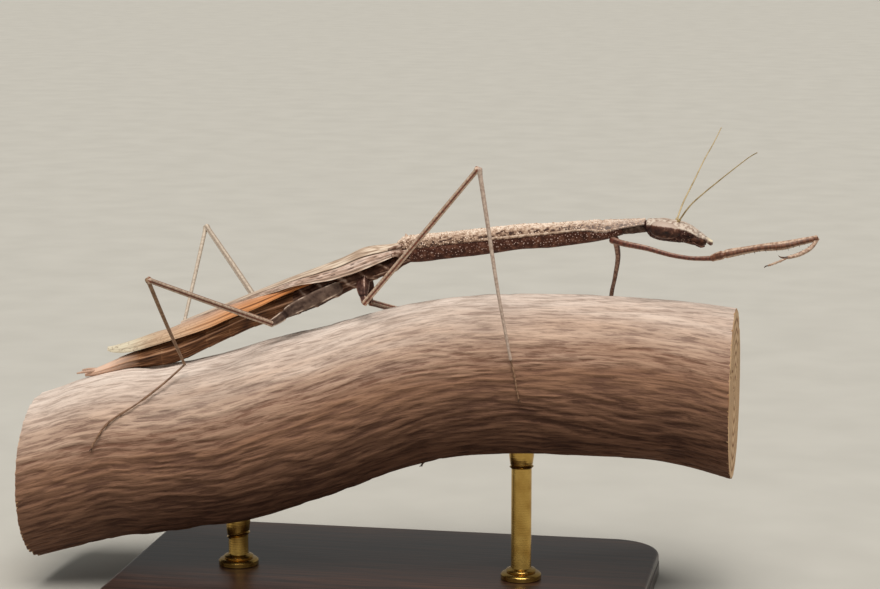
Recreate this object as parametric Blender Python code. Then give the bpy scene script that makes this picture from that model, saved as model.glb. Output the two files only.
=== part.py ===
"""A slender brown praying mantis walking along a cut length of branch, life size.

The branch is carried by two short rods on a flat display base. The origin is the middle of the
base's underside, +X runs towards the head, +Y to the animal's left and +Z up. Every length below
is in millimetres, and MM turns it to metres where a mesh is made.
"""
import math

import bmesh
import bpy
from mathutils import Vector

MM = 0.001
GAP = 0.3               # clearance between neighbouring solids
FEELER_RADIUS = 0.25    # the thinnest rod that is made: antennae, tarsi, palps
FEELER_SIDES = 6
SHELL = 0.55            # thickness of a wing
END_REACH, END_RADIUS = 0.7, 0.6    # how a limb's end is rounded, in shares of its radius

LEFT, RIGHT = 1, -1     # sides of the animal, as the sign of Y

# Display base and rods
BASE_LENGTH, BASE_WIDTH, BASE_HEIGHT = 84.0, 54.0, 4.0
BASE_CORNER, BASE_EDGE = 8.0, 0.6
ROD_RADIUS, COLLAR_RADIUS, COLLAR_HEIGHT = 1.6, 3.2, 1.2
CORNER_STEPS, ROD_SIDES = 6, 20
ROD_PLACES = {"stand_rod_rear": -24.0, "stand_rod_front": 22.0}

# The branch: place along X, height of its middle, half its height, half its width
PERCH = [
    (-57.0, 17.2, 13.1, 12.8), (-53.0, 18.4, 13.1, 12.8), (-49.0, 19.7, 13.3, 13.0),
    (-41.9, 21.6, 13.4, 13.1), (-37.7, 22.1, 13.4, 13.1), (-32.5, 23.0, 13.3, 13.0),
    (-28.8, 23.8, 13.4, 13.1), (-23.8, 24.9, 13.7, 13.3), (-18.7, 26.5, 13.9, 13.4),
    (-13.6, 28.1, 13.7, 13.2), (-8.8, 29.6, 13.5, 13.0), (-4.7, 31.2, 13.3, 12.9),
    (3.4, 34.1, 12.9, 12.6), (11.4, 36.0, 12.6, 12.5), (19.3, 36.8, 12.5, 12.4),
    (27.2, 37.0, 12.5, 12.4), (35.0, 37.0, 12.5, 12.4), (42.7, 36.7, 12.5, 12.4),
    (49.0, 36.1, 12.8, 12.6), (55.0, 35.0, 13.3, 13.0),
]
PERCH_SIDES = 28

# The long prothorax: place along X, belly, rim between back shield and belly, back, half width
PROTHORAX = [
    (3.6, 54.0, 56.2, 58.0, 1.50), (6.0, 54.1, 56.5, 58.35, 1.85), (9.3, 54.6, 57.0, 58.7, 1.90),
    (16.4, 55.6, 57.9, 59.6, 1.75), (21.5, 56.5, 58.5, 60.3, 1.60), (26.5, 56.9, 59.1, 60.6, 1.55),
    (31.5, 57.7, 59.8, 61.1, 1.60), (34.5, 58.3, 59.6, 61.35, 1.95), (37.5, 59.2, 60.35, 61.5, 1.75),
    (40.6, 60.4, 60.95, 61.7, 1.40),
]
BELLY_FRONT = 37.5      # the prothorax's belly ends here, under the shield
ARCH_STEPS = 8          # faces across the back shield, and across the belly

# Round trunk pieces: place along X, belly, back, half width
HEAD = [
    (41.2, 59.9, 61.65, 1.10), (41.9, 58.9, 61.75, 1.75), (43.2, 58.5, 61.75, 2.20),
    (45.0, 58.3, 61.65, 2.35), (46.5, 58.2, 61.4, 2.10), (47.6, 58.35, 61.0, 1.75),
    (48.3, 58.6, 60.6, 1.50), (49.3, 58.6, 59.9, 1.15), (50.3, 58.55, 59.15, 0.85),
    (51.05, 58.35, 58.7, 0.45),
]
MESOTHORAX = [
    (3.3, 53.4, 55.7, 1.3), (1.5, 52.2, 54.9, 1.8), (-0.7, 51.3, 54.2, 2.1), (-4.4, 49.6, 53.0, 2.1),
]
METATHORAX = [
    (-4.7, 49.5, 52.8, 2.1), (-8.0, 47.8, 51.4, 2.1), (-10.7, 46.4, 50.1, 2.05), (-13.6, 45.3, 48.9, 1.9),
]
ABDOMEN = [
    (-13.9, 45.1, 48.8, 1.85), (-17.0, 44.1, 47.4, 1.95), (-20.7, 43.0, 46.3, 1.95),
    (-27.0, 40.1, 43.7, 1.95), (-33.3, 37.0, 41.1, 1.90), (-38.0, 36.0, 39.3, 1.75),
    (-41.9, 35.4, 37.8, 1.50), (-46.4, 34.3, 35.7, 1.10), (-49.0, 33.9, 34.6, 0.55),
]

# The chin under the mouth, and one of the two palps beside it: place along X, across, height
CHIN = [(48.0, 57.85, 58.2, 0.8), (49.2, 57.7, 58.25, 0.9), (50.3, 57.8, 58.2, 0.6)]
PALP = [(48.6, 0.75, 58.0), (49.7, 1.05, 57.85), (50.4, 1.0, 57.95)]

# The neck and one cercus: place along X, across, height
NECK = [(38.15, 0, 59.75), (39.5, 0, 59.95), (40.6, 0, 60.15)]
NECK_RADIUS = 0.42
CERCUS = [(-47.6, 0.7, 34.9), (-48.8, 1.1, 34.85), (-50.0, 1.4, 34.6)]

# Eyes: centre of the right one, half length, half width, half height, and how far it dips forward
EYE_CENTRE = (44.1, -1.95, 60.25)
EYE_SIZE = (2.45, 1.20, 1.30)
EYE_DIP = math.radians(9.0)

# Folded wings: place along X, height at the middle of the back, height of the outer edge, half width
FOREWING = [
    (3.2, 57.2, 56.0, 1.3), (1.0, 56.7, 54.8, 2.5), (-2.9, 56.15, 52.9, 3.2), (-6.3, 54.5, 51.7, 3.35),
    (-8.5, 53.6, 51.1, 3.35), (-13.5, 51.6, 50.1, 3.2), (-16.7, 50.3, 49.1, 2.9), (-20.0, 48.9, 47.9, 2.4),
    (-25.4, 46.6, 45.8, 1.7), (-29.5, 44.9, 44.15, 1.2), (-32.9, 43.5, 42.85, 0.60),
]
HINDWING = [
    (-6.5, 53.4, 51.9, 2.2), (-9.5, 52.2, 50.4, 2.4), (-13.5, 50.6, 48.7, 2.5), (-16.8, 49.3, 47.7, 2.7),
    (-20.0, 47.9, 46.3, 2.9), (-24.2, 46.1, 44.6, 2.9), (-27.4, 44.75, 43.1, 2.85), (-31.4, 43.1, 41.6, 2.6),
    (-34.6, 42.2, 40.5, 2.3), (-37.2, 41.5, 39.6, 1.95), (-41.0, 40.1, 38.4, 1.4), (-43.9, 39.2, 38.1, 0.8),
    (-45.2, 38.9, 38.3, 0.35),
]


def smooth(stations, steps):
    """Rows of numbers on one smooth curve through the stations."""
    rows = [stations[0], *stations, stations[-1]]
    result = []
    for before, start, end, after in zip(rows, rows[1:], rows[2:], rows[3:]):
        for step in range(steps):
            t = step / steps
            row = []
            for a, b, c, d in zip(before, start, end, after):
                bend = (2 * a - 5 * b + 4 * c - d) * t ** 2 + (3 * b - a - 3 * c + d) * t ** 3
                row.append(b + 0.5 * ((c - a) * t + bend))
            result.append(tuple(row))
    result.append(tuple(stations[-1]))
    return result


def perch_at(x):
    """Height of the branch's middle, half its height and half its width, at one place along X."""
    for start, end in zip(PERCH, PERCH[1:]):
        if x <= end[0]:
            t = (x - start[0]) / (end[0] - start[0])
            return tuple(a + t * (b - a) for a, b in zip(start[1:], end[1:]))
    return PERCH[-1][1:]


def on_perch(x, degrees, lift, radius=FEELER_RADIUS):
    """A limb point lifted off the bark. 0 degrees faces the animal's right, 90 up, 180 its left."""
    middle, tall, wide = perch_at(x)
    angle = math.radians(degrees)
    return (x, -(wide + lift) * math.cos(angle), middle + (tall + lift) * math.sin(angle), radius)


def finish(name, colour, roughness, metallic=0.0):
    material = bpy.data.materials.new(name)
    material.use_nodes = True
    shader = material.node_tree.nodes["Principled BSDF"]
    shader.inputs["Base Color"].default_value = (*colour, 1.0)
    shader.inputs["Roughness"].default_value = roughness
    shader.inputs["Metallic"].default_value = metallic
    return material


def add_object(name, bm, material):
    """A named object from a bmesh in millimetres, shaded smooth except at its sharp edges."""
    bmesh.ops.recalc_face_normals(bm, faces=bm.faces)
    if bm.calc_volume(signed=True) < 0:
        bmesh.ops.reverse_faces(bm, faces=bm.faces)
    bmesh.ops.scale(bm, vec=(MM, MM, MM), verts=bm.verts)
    mesh = bpy.data.meshes.new(name)
    bm.to_mesh(mesh)
    bm.free()
    mesh.shade_smooth()
    mesh.set_sharp_from_angle(angle=math.radians(50))
    piece = bpy.data.objects.new(name, mesh)
    bpy.context.scene.collection.objects.link(piece)
    if material:
        mesh.materials.append(material)
    return piece


def add_rings(name, rings, material=None):
    """A closed solid skinned over a row of rings, each with the same number of points."""
    bm = bmesh.new()
    loops = [[bm.verts.new(point) for point in ring] for ring in rings]
    for low, high in zip(loops, loops[1:]):
        for i in range(len(low)):
            j = (i + 1) % len(low)
            bm.faces.new((low[i], low[j], high[j], high[i]))
    bm.faces.new(loops[0][::-1])
    bm.faces.new(loops[-1])
    return add_object(name, bm, material)


def trunk_rings(stations, grow=0.0, steps=2, sides=14):
    """Oval rings across the animal, optionally grown by a clearance on every side."""
    rows = smooth(stations, steps)
    facing = math.copysign(1.0, rows[-1][0] - rows[0][0])
    rings = []
    for index, (x, low, high, half) in enumerate(rows):
        if index == 0:
            x -= facing * grow
        if index == len(rows) - 1:
            x += facing * grow
        middle, tall = (low + high) / 2, (high - low) / 2 + grow
        ring = []
        for side in range(sides):
            angle = math.tau * side / sides
            ring.append((x, (half + grow) * math.cos(angle), middle + tall * math.sin(angle)))
        rings.append(ring)
    return rings


def limb_rings(path, grow=0.0, sides=8):
    """Round rings along a limb from joint to joint, with a rounded end past each joint."""
    points = [Vector(row[:3]) for row in path]
    radii = [row[3] + grow for row in path]
    tangents = [(points[min(i + 1, len(points) - 1)] - points[max(i - 1, 0)]).normalized()
                for i in range(len(points))]
    start = points[0] - tangents[0] * radii[0] * END_REACH
    end = points[-1] + tangents[-1] * radii[-1] * END_REACH
    points = [start, *points, end]
    radii = [radii[0] * END_RADIUS, *radii, radii[-1] * END_RADIUS]
    tangents = [tangents[0], *tangents, tangents[-1]]
    across = tangents[0].orthogonal().normalized()
    rings = []
    for point, radius, tangent in zip(points, radii, tangents):
        across = (across - tangent * across.dot(tangent)).normalized()
        upright = tangent.cross(across)
        turns = [math.tau * side / sides for side in range(sides)]
        rings.append([point + (across * math.cos(a) + upright * math.sin(a)) * radius for a in turns])
    return rings


def eye_body(side, grow=0.0):
    """A long oval eye as a bmesh, centred on its place on the head."""
    bm = bmesh.new()
    bmesh.ops.create_uvsphere(bm, u_segments=16, v_segments=10, radius=1.0)
    dip_cos, dip_sin = math.cos(EYE_DIP), math.sin(EYE_DIP)
    for vert in bm.verts:
        along, across, up = (size_part * (half + grow) for size_part, half in
                             zip((vert.co.z, vert.co.x, vert.co.y), EYE_SIZE))
        vert.co = (EYE_CENTRE[0] + along * dip_cos + up * dip_sin,
                   -side * EYE_CENTRE[1] + across,
                   EYE_CENTRE[2] - along * dip_sin + up * dip_cos)
    return bm


def combine(piece, tool, operation):
    """Cut with, or join, a hidden tool that stays as a Boolean modifier."""
    tool.hide_render = True
    tool.display_type = "WIRE"
    modifier = piece.modifiers.new(tool.name, "BOOLEAN")
    modifier.operation = operation
    modifier.solver = "EXACT"
    modifier.object = tool
    return piece


def cut_back(piece, rings):
    """Keep a piece the usual gap away from a neighbour, given that neighbour's grown rings."""
    return combine(piece, add_rings(piece.name + "_cutter", rings), "DIFFERENCE")


def wing_rings(stations, side, spans=6):
    """A wing folded over the back: a thin quarter arch from the middle line down to its outer edge."""
    rings = []
    for x, top, edge, half in stations:
        wall = min(SHELL, 0.9 * half, 0.9 * (top - edge))
        outer, inner = [], []
        for span in range(spans + 1):
            angle = math.pi / 2 * span / spans
            reach, rise = math.sin(angle), math.cos(angle)
            outer.append((x, side * max(half * reach, GAP / 2), edge + (top - edge) * rise))
            inner_y = side * max((half - wall) * reach, GAP / 2)
            inner.append((x, inner_y, edge + (top - wall - edge) * rise))
        rings.append(outer + inner[::-1])
    return rings


def add_leg(name, carrier_rings, coxa, femur, tibia, tarsus):
    """A jointed leg. Each segment starts at the last one's joint and is cut back from it."""
    segments = {"coxa": (coxa, "cuticle_body"), "femur": (femur, "cuticle_leg"),
                "tibia": (tibia, "cuticle_leg"), "tarsus": (tarsus, "cuticle_leg")}
    neighbour = carrier_rings
    start = None
    for segment, (path, material) in segments.items():
        if start:
            path = [(*start, path[0][3]), *path[1:]]
        piece = add_rings(f"{name}_{segment}", limb_rings(path), FINISHES[material])
        cut_back(piece, neighbour)
        neighbour = limb_rings(path, grow=GAP)
        start = path[-1][:3]


for leftover in list(bpy.data.objects):
    bpy.data.objects.remove(leftover)

FINISHES = {
    "cuticle_shield": finish("cuticle_shield", (0.48, 0.36, 0.28), 0.75),
    "cuticle_body": finish("cuticle_body", (0.16, 0.08, 0.05), 0.60),
    "cuticle_leg": finish("cuticle_leg", (0.38, 0.27, 0.19), 0.55),
    "cuticle_abdomen": finish("cuticle_abdomen", (0.20, 0.07, 0.03), 0.65),
    "wing_fore": finish("wing_fore", (0.62, 0.50, 0.38), 0.55),
    "wing_hind": finish("wing_hind", (0.62, 0.30, 0.12), 0.55),
    "eye": finish("eye", (0.14, 0.05, 0.03), 0.30),
    "driftwood": finish("driftwood", (0.55, 0.40, 0.30), 0.85),
    "stand_wood": finish("stand_wood", (0.06, 0.04, 0.03), 0.45),
    "stand_brass": finish("stand_brass", (0.75, 0.58, 0.28), 0.30, 1.0),
}

# --- display base: a flat plate with round corners and eased edges ---
bm = bmesh.new()
outline = []
for corner in range(4):
    sign_x = 1 if corner in (0, 3) else -1
    sign_y = 1 if corner in (0, 1) else -1
    for step in range(CORNER_STEPS + 1):
        angle = math.pi / 2 * (corner + step / CORNER_STEPS)
        outline.append(bm.verts.new((
            sign_x * (BASE_LENGTH / 2 - BASE_CORNER) + BASE_CORNER * math.cos(angle),
            sign_y * (BASE_WIDTH / 2 - BASE_CORNER) + BASE_CORNER * math.sin(angle),
            0.0)))
plate = bm.faces.new(outline)
lifted = bmesh.ops.extrude_face_region(bm, geom=[plate])["geom"]
top_corners = [item for item in lifted if isinstance(item, bmesh.types.BMVert)]
bmesh.ops.translate(bm, vec=(0, 0, BASE_HEIGHT), verts=top_corners)
top_edges = [edge for edge in bm.edges if all(vert.co.z > BASE_HEIGHT / 2 for vert in edge.verts)]
bmesh.ops.bevel(bm, geom=top_edges, offset=BASE_EDGE, segments=1, affect="EDGES")
add_object("stand_base", bm, FINISHES["stand_wood"])

# --- branch: oval rings along X, cut square at both ends ---
perch_rings = []
for x, middle, tall, wide in PERCH:
    turns = [math.tau * side / PERCH_SIDES for side in range(PERCH_SIDES)]
    perch_rings.append([(x, wide * math.cos(a), middle + tall * math.sin(a)) for a in turns])
add_rings("perch", perch_rings, FINISHES["driftwood"])

# --- rods: a collar on the base, then a round bar whose top follows the branch's underside ---
for rod_name, rod_x in ROD_PLACES.items():
    rod_rings = []
    bottom = BASE_HEIGHT + GAP
    for height, radius in ((bottom, COLLAR_RADIUS), (bottom + COLLAR_HEIGHT, COLLAR_RADIUS),
                           (bottom + COLLAR_HEIGHT, ROD_RADIUS), (None, ROD_RADIUS)):
        ring = []
        for side in range(ROD_SIDES):
            angle = math.tau * side / ROD_SIDES
            x, y = rod_x + radius * math.cos(angle), radius * math.sin(angle)
            middle, tall, wide = perch_at(x)
            underside = middle - tall * math.sqrt(1 - (y / wide) ** 2)
            ring.append((x, y, underside - GAP if height is None else height))
        rod_rings.append(ring)
    add_rings(rod_name, rod_rings, FINISHES["stand_brass"])

# --- prothorax: the rough back shield and the smoother belly under it ---
shield_rings, belly_rings, belly_grown = [], [], []
for x, low, rim, high, half in smooth(PROTHORAX, 2):
    arch = [math.pi * step / ARCH_STEPS for step in range(ARCH_STEPS + 1)]
    shield_rings.append([(x, half * math.cos(a), rim + (high - rim) * math.sin(a)) for a in arch])
    if x <= BELLY_FRONT:
        roof = rim - GAP
        belly_rings.append([(x, half * math.cos(a), roof - (roof - low) * math.sin(a)) for a in arch])
        drop = rim - low + GAP
        belly_grown.append([(x, (half + GAP) * math.cos(a), rim - drop * math.sin(a)) for a in arch])
add_rings("pronotum", shield_rings, FINISHES["cuticle_shield"])
add_rings("prosternum", belly_rings, FINISHES["cuticle_body"])

# --- neck: a soft stalk under the front of the shield ---
neck_path = [(*point, NECK_RADIUS) for point in NECK]
add_rings("neck", limb_rings(neck_path), FINISHES["cuticle_body"])

# --- head, with sockets that leave the eyes clear ---
head = add_rings("head", trunk_rings(HEAD, steps=2, sides=20), FINISHES["cuticle_shield"])
for side, side_name in ((RIGHT, "right"), (LEFT, "left")):
    add_object(f"eye_{side_name}", eye_body(side), FINISHES["eye"])
    combine(head, add_object(f"eye_{side_name}_cutter", eye_body(side, grow=GAP), None), "DIFFERENCE")

# --- mouthparts: the chin between two pairs of palps, kept clear of the head ---
mouthparts = add_rings("mouthparts", trunk_rings(CHIN), FINISHES["cuticle_body"])
for side in (RIGHT, LEFT):
    palp = [(x, side * y, z, FEELER_RADIUS) for x, y, z in PALP]
    combine(mouthparts, add_rings(f"palp_{side}_tool", limb_rings(palp, sides=FEELER_SIDES)), "UNION")

# --- antennae: fine rods from the brow, raised and spread ---
ANTENNAE = {
    "antenna_right": [(45.9, -0.7, 61.3), (47.9, -2.5, 64.6), (50.0, -4.0, 66.3), (52.0, -5.5, 68.1),
                      (53.9, -7.0, 69.8), (56.8, -9.5, 72.3), (58.2, -11.0, 73.3)],
    "antenna_left": [(45.5, 0.7, 61.3), (46.4, 3.0, 64.0), (47.7, 6.0, 66.9), (49.0, 9.0, 69.9),
                     (50.2, 11.0, 72.2), (51.4, 13.0, 74.8)],
}
for antenna_name, route in ANTENNAE.items():
    path = smooth([(*point, FEELER_RADIUS) for point in route], 2)
    antenna = add_rings(antenna_name, limb_rings(path, sides=FEELER_SIDES), FINISHES["cuticle_leg"])
    cut_back(antenna, trunk_rings(HEAD, grow=GAP, steps=2, sides=20))

# --- thorax behind the shield, abdomen and its two cerci ---
add_rings("mesothorax", trunk_rings(MESOTHORAX), FINISHES["cuticle_body"])
add_rings("metathorax", trunk_rings(METATHORAX), FINISHES["cuticle_body"])
add_rings("abdomen", trunk_rings(ABDOMEN), FINISHES["cuticle_abdomen"])
for side, side_name in ((RIGHT, "right"), (LEFT, "left")):
    path = [(x, side * y, z, FEELER_RADIUS) for x, y, z in CERCUS]
    cercus = add_rings(f"cercus_{side_name}", limb_rings(path, sides=FEELER_SIDES), FINISHES["cuticle_leg"])
    cut_back(cercus, trunk_rings(ABDOMEN, grow=GAP))

# --- wings folded along the back, the forewings over the longer hindwings ---
for side, side_name in ((RIGHT, "right"), (LEFT, "left")):
    add_rings(f"forewing_{side_name}", wing_rings(FOREWING, side), FINISHES["wing_fore"])
    add_rings(f"hindwing_{side_name}", wing_rings(HINDWING, side), FINISHES["wing_hind"])

# --- legs: rows of place and radius from joint to joint ---
add_leg(
    "foreleg_right", belly_grown,
    coxa=smooth([(36.2, -1.3, 58.4, 0.55), (37.8, -2.2, 58.1, 0.50), (41.5, -3.2, 57.6, 0.43),
                 (45.1, -4.0, 56.8, 0.40), (48.5, -4.6, 56.45, 0.38), (51.6, -5.0, 56.6, 0.48)], 2),
    femur=smooth([(51.6, -5.0, 56.6, 0.48), (53.4, -5.3, 57.3, 0.60), (58.3, -5.5, 58.4, 0.54),
                  (62.0, -5.5, 58.9, 0.65), (64.6, -5.2, 59.5, 0.52), (67.2, -5.0, 60.1, 0.42)], 2),
    tibia=smooth([(67.2, -5.0, 60.1, 0.36), (66.2, -5.5, 58.7, 0.36), (64.5, -6.0, 57.7, 0.36),
                  (62.7, -6.5, 57.2, 0.27)], 2),
    tarsus=[(62.7, -6.5, 57.2, FEELER_RADIUS), (61.2, -6.8, 56.5, FEELER_RADIUS),
            (59.9, -7.0, 56.0, FEELER_RADIUS)])
add_leg(
    "foreleg_left", belly_grown,
    coxa=smooth([(36.3, 1.2, 58.4, 0.55), (36.4, 3.3, 55.3, 0.48), (35.85, 5.0, 52.1, 0.42),
                 (35.05, 7.2, 48.9, 0.40), (34.4, 10.9, 45.0, 0.48)], 2),
    femur=smooth([(34.4, 10.9, 45.0, 0.48), (37.2, 12.3, 43.9, 0.60), (43.2, 14.5, 41.6, 0.62),
                  (47.5, 16.2, 39.5, 0.42)], 2),
    tibia=smooth([(47.5, 16.2, 39.5, 0.36), (45.9, 15.6, 36.0, 0.36), on_perch(42.6, 197, 1.9, 0.27)], 2),
    tarsus=[on_perch(42.6, 197, 1.9), on_perch(40.4, 206, 1.0), on_perch(38.2, 212, 0.6),
            on_perch(36.6, 217, 0.6)])
add_leg(
    "midleg_right", trunk_rings(MESOTHORAX, grow=GAP),
    coxa=[(-2.9, -1.5, 51.3, 0.95), (-2.7, -3.0, 49.9, 0.85), (-2.1, -4.3, 48.1, 0.58)],
    femur=[(-2.1, -4.3, 48.1, 0.55), (7.9, -10.1, 59.4, 0.50), (17.8, -16.0, 70.8, 0.45)],
    tibia=[(17.8, -16.0, 70.8, 0.40), (19.0, -15.1, 62.2, 0.36), (20.4, -14.0, 52.0, 0.30),
           on_perch(22.1, 19.6, 0.9, 0.27)],
    tarsus=[on_perch(22.1, 19.6, 0.9), on_perch(22.7, 10, 0.6), on_perch(23.1, 0, 0.6),
            on_perch(23.4, -7, 0.6)])
add_leg(
    "midleg_left", trunk_rings(MESOTHORAX, grow=GAP),
    coxa=[(-2.9, 1.5, 51.3, 0.95), (-2.9, 2.9, 49.2, 0.85), (-3.0, 4.0, 46.8, 0.58)],
    femur=[(-3.0, 4.0, 46.8, 0.55), (3.5, 16.0, 42.5, 0.50), (10.0, 28.0, 38.2, 0.45)],
    tibia=[(10.0, 28.0, 38.2, 0.40), (8.3, 18.0, 31.2, 0.34), on_perch(6.7, 234, 1.2, 0.27)],
    tarsus=[on_perch(6.7, 234, 1.2), on_perch(6.5, 247, 0.7), on_perch(6.3, 259, 0.7),
            on_perch(6.0, 269, 1.1)])
add_leg(
    "hindleg_right", trunk_rings(METATHORAX, grow=GAP),
    coxa=[(-6.5, -1.7, 50.0, 1.25), (-10.5, -2.6, 48.2, 1.30), (-14.0, -3.4, 46.5, 1.05),
          (-17.0, -4.4, 44.3, 0.62)],
    femur=[(-17.0, -4.4, 44.3, 0.55), (-23.4, -16.0, 49.4, 0.50), (-29.8, -27.5, 54.5, 0.45)],
    tibia=[(-29.8, -27.5, 54.5, 0.40), (-30.2, -17.0, 46.0, 0.34), on_perch(-30.7, 66.0, 2.0, 0.27)],
    tarsus=[on_perch(-30.7, 66.0, 2.0), on_perch(-33.6, 54.5, 1.3), on_perch(-37.3, 42.5, 0.8),
            on_perch(-41.6, 30.5, 0.6), on_perch(-43.6, 19.0, 0.6), on_perch(-44.0, 15.0, 0.6)])
add_leg(
    "hindleg_left", trunk_rings(METATHORAX, grow=GAP),
    coxa=[(-6.5, 1.7, 50.0, 1.25), (-11.5, 2.7, 47.8, 1.25), (-16.5, 3.3, 45.8, 0.95),
          (-20.0, 3.9, 44.2, 0.62)],
    femur=[(-20.0, 3.9, 44.2, 0.55), (-27.6, 13.7, 49.9, 0.50), (-35.3, 23.5, 55.5, 0.45)],
    tibia=[(-35.3, 23.5, 55.5, 0.40), (-36.2, 16.5, 44.8, 0.34), on_perch(-36.9, 128, 2.0, 0.27)],
    tarsus=[on_perch(-36.9, 128, 2.0), on_perch(-39.5, 138, 1.2), on_perch(-42.8, 148, 0.7),
            on_perch(-45.6, 157, 0.6), on_perch(-46.6, 162, 0.6)])
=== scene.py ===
"""Looks of a life-size praying mantis that walks along a cut branch on a small display base.

Every length is in millimetres until a mesh is made. +X runs towards the head, +Y to the animal's
left and +Z up, and the origin is the middle of the base's underside.
"""
import math

import bpy
import numpy as np
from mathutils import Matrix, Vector


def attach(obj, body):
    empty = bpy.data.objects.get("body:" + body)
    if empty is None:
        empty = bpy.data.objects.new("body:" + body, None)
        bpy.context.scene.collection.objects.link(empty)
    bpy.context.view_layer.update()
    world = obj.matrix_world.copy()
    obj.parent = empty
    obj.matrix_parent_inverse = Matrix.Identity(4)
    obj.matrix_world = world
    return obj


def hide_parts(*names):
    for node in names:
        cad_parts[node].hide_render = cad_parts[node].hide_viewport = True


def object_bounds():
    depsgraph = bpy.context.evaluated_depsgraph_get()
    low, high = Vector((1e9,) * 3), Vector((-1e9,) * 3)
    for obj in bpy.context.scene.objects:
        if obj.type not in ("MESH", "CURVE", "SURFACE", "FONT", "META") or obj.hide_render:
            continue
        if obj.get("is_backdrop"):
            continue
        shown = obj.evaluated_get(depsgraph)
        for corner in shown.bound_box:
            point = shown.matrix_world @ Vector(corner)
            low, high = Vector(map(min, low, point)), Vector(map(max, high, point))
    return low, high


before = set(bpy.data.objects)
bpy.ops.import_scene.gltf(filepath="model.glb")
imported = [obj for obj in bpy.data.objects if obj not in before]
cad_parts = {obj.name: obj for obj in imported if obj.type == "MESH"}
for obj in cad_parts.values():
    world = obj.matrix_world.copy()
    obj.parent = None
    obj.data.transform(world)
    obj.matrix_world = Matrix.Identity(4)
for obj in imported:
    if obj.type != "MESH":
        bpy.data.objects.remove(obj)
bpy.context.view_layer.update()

# --- Camera, floor and lights --------------------------------------------------------------------
# A long lens stands off the animal's right side, a little ahead of it and above it. The floor is
# matt paper, soft daylight falls from above, and a weak lamp fills the near side.
AIM = Vector((0.009, 0.0, 0.049))
CAMERA_DISTANCE = 0.381
AZIMUTH, ELEVATION = math.radians(10.5), math.radians(9.4)
away = Vector((math.sin(AZIMUTH) * math.cos(ELEVATION), -math.cos(AZIMUTH) * math.cos(ELEVATION),
               math.sin(ELEVATION)))
camera = bpy.data.objects.new("camera", bpy.data.cameras.new("camera"))
camera.data.lens = 100.0
camera.data.sensor_width = 36.0
camera.data.clip_start = 0.02
camera.location = AIM + away * CAMERA_DISTANCE
camera.rotation_mode = "QUATERNION"
camera.rotation_quaternion = (-away).to_track_quat("-Z", "Y")
bpy.context.scene.collection.objects.link(camera)
bpy.context.scene.camera = camera
bpy.context.scene.view_settings.view_transform = "Standard"


def linear(code):
    """A colour's sRGB hex code as linear red, green, blue and alpha."""
    parts = [int(code[place:place + 2], 16) / 255 for place in (0, 2, 4)]
    return (*(part / 12.92 if part <= 0.04045 else ((part + 0.055) / 1.055) ** 2.4 for part in parts), 1.0)


def add_node(tree, kind, inputs=None, stops=None, **settings):
    """Adds a node. inputs maps its sockets to values or to other nodes' sockets; stops fill a ramp."""
    made = tree.nodes.new(kind)
    for setting, value in settings.items():
        setattr(made, setting, value)
    for socket, value in (inputs or {}).items():
        if isinstance(value, bpy.types.NodeSocket):
            tree.links.new(value, made.inputs[socket])
        else:
            made.inputs[socket].default_value = value
    for index, (place, colour) in enumerate(stops or ()):
        elements = made.color_ramp.elements
        element = elements[index] if index < 2 else elements.new(place)
        element.position = place
        element.color = linear(colour)
    return made


def new_finish(name, roughness, **sockets):
    """A material with its shader, whose uniform values are set on the shader's own sockets."""
    finish = bpy.data.materials.new(name)
    finish.use_nodes = True
    shader = finish.node_tree.nodes["Principled BSDF"]
    shader.inputs["Roughness"].default_value = roughness
    for socket, value in sockets.items():
        shader.inputs[socket.replace("_", " ")].default_value = value
    return finish, finish.node_tree, shader


# Matt paper: very fine mottling that only keeps the floor from looking like empty space.
paper, tree, shader = new_finish("matt_paper", 0.9, Specular_IOR_Level=0.2)
place = add_node(tree, "ShaderNodeTexCoord")
mottle = add_node(tree, "ShaderNodeTexNoise", {"Vector": place.outputs["Object"], "Scale": 60.0})
tint = add_node(tree, "ShaderNodeValToRGB", {"Fac": mottle.outputs["Fac"]},
                stops=((0.3, "bab8b1"), (0.7, "c0beb7")))
tree.links.new(tint.outputs["Color"], shader.inputs["Base Color"])
FLOOR_RADIUS, FLOOR_DROP = 6.0, 0.0001
floor_mesh = bpy.data.meshes.new("floor")
turns = np.linspace(0.0, math.tau, 64, endpoint=False)
floor_mesh.from_pydata([(FLOOR_RADIUS * math.cos(turn), FLOOR_RADIUS * math.sin(turn), -FLOOR_DROP)
                        for turn in turns], [], [tuple(range(64))])
floor_mesh.materials.append(paper)
floor = bpy.data.objects.new("floor", floor_mesh)
bpy.context.scene.collection.objects.link(floor)
floor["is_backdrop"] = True

# name: kind, place, size of the lamp in metres or of the sun in radians, strength, colour
LAMPS = {
    "daylight": ("SUN", (0.12, -0.46, 1.0), 0.70, 3.2, "fffaf3"),
    "near_fill_lamp": ("AREA", (0.25, -1.10, 0.55), 0.80, 0.6, "fffaf5"),
}
for lamp_name, (kind, spot, lamp_size, strength, colour) in LAMPS.items():
    lamp = bpy.data.lights.new(lamp_name, kind)
    setattr(lamp, "angle" if kind == "SUN" else "size", lamp_size)
    lamp.energy = strength
    lamp.color = linear(colour)[:3]
    fixture = bpy.data.objects.new(lamp_name, lamp)
    fixture.location = spot
    fixture.rotation_mode = "QUATERNION"
    fixture.rotation_quaternion = (AIM - Vector(spot)).to_track_quat("-Z", "Y")
    bpy.context.scene.collection.objects.link(fixture)
world = bpy.data.worlds.new("studio")
world.use_nodes = True
world.node_tree.nodes["Background"].inputs["Color"].default_value = linear("f2f1ec")
world.node_tree.nodes["Background"].inputs["Strength"].default_value = 0.26
bpy.context.scene.world = world

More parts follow.
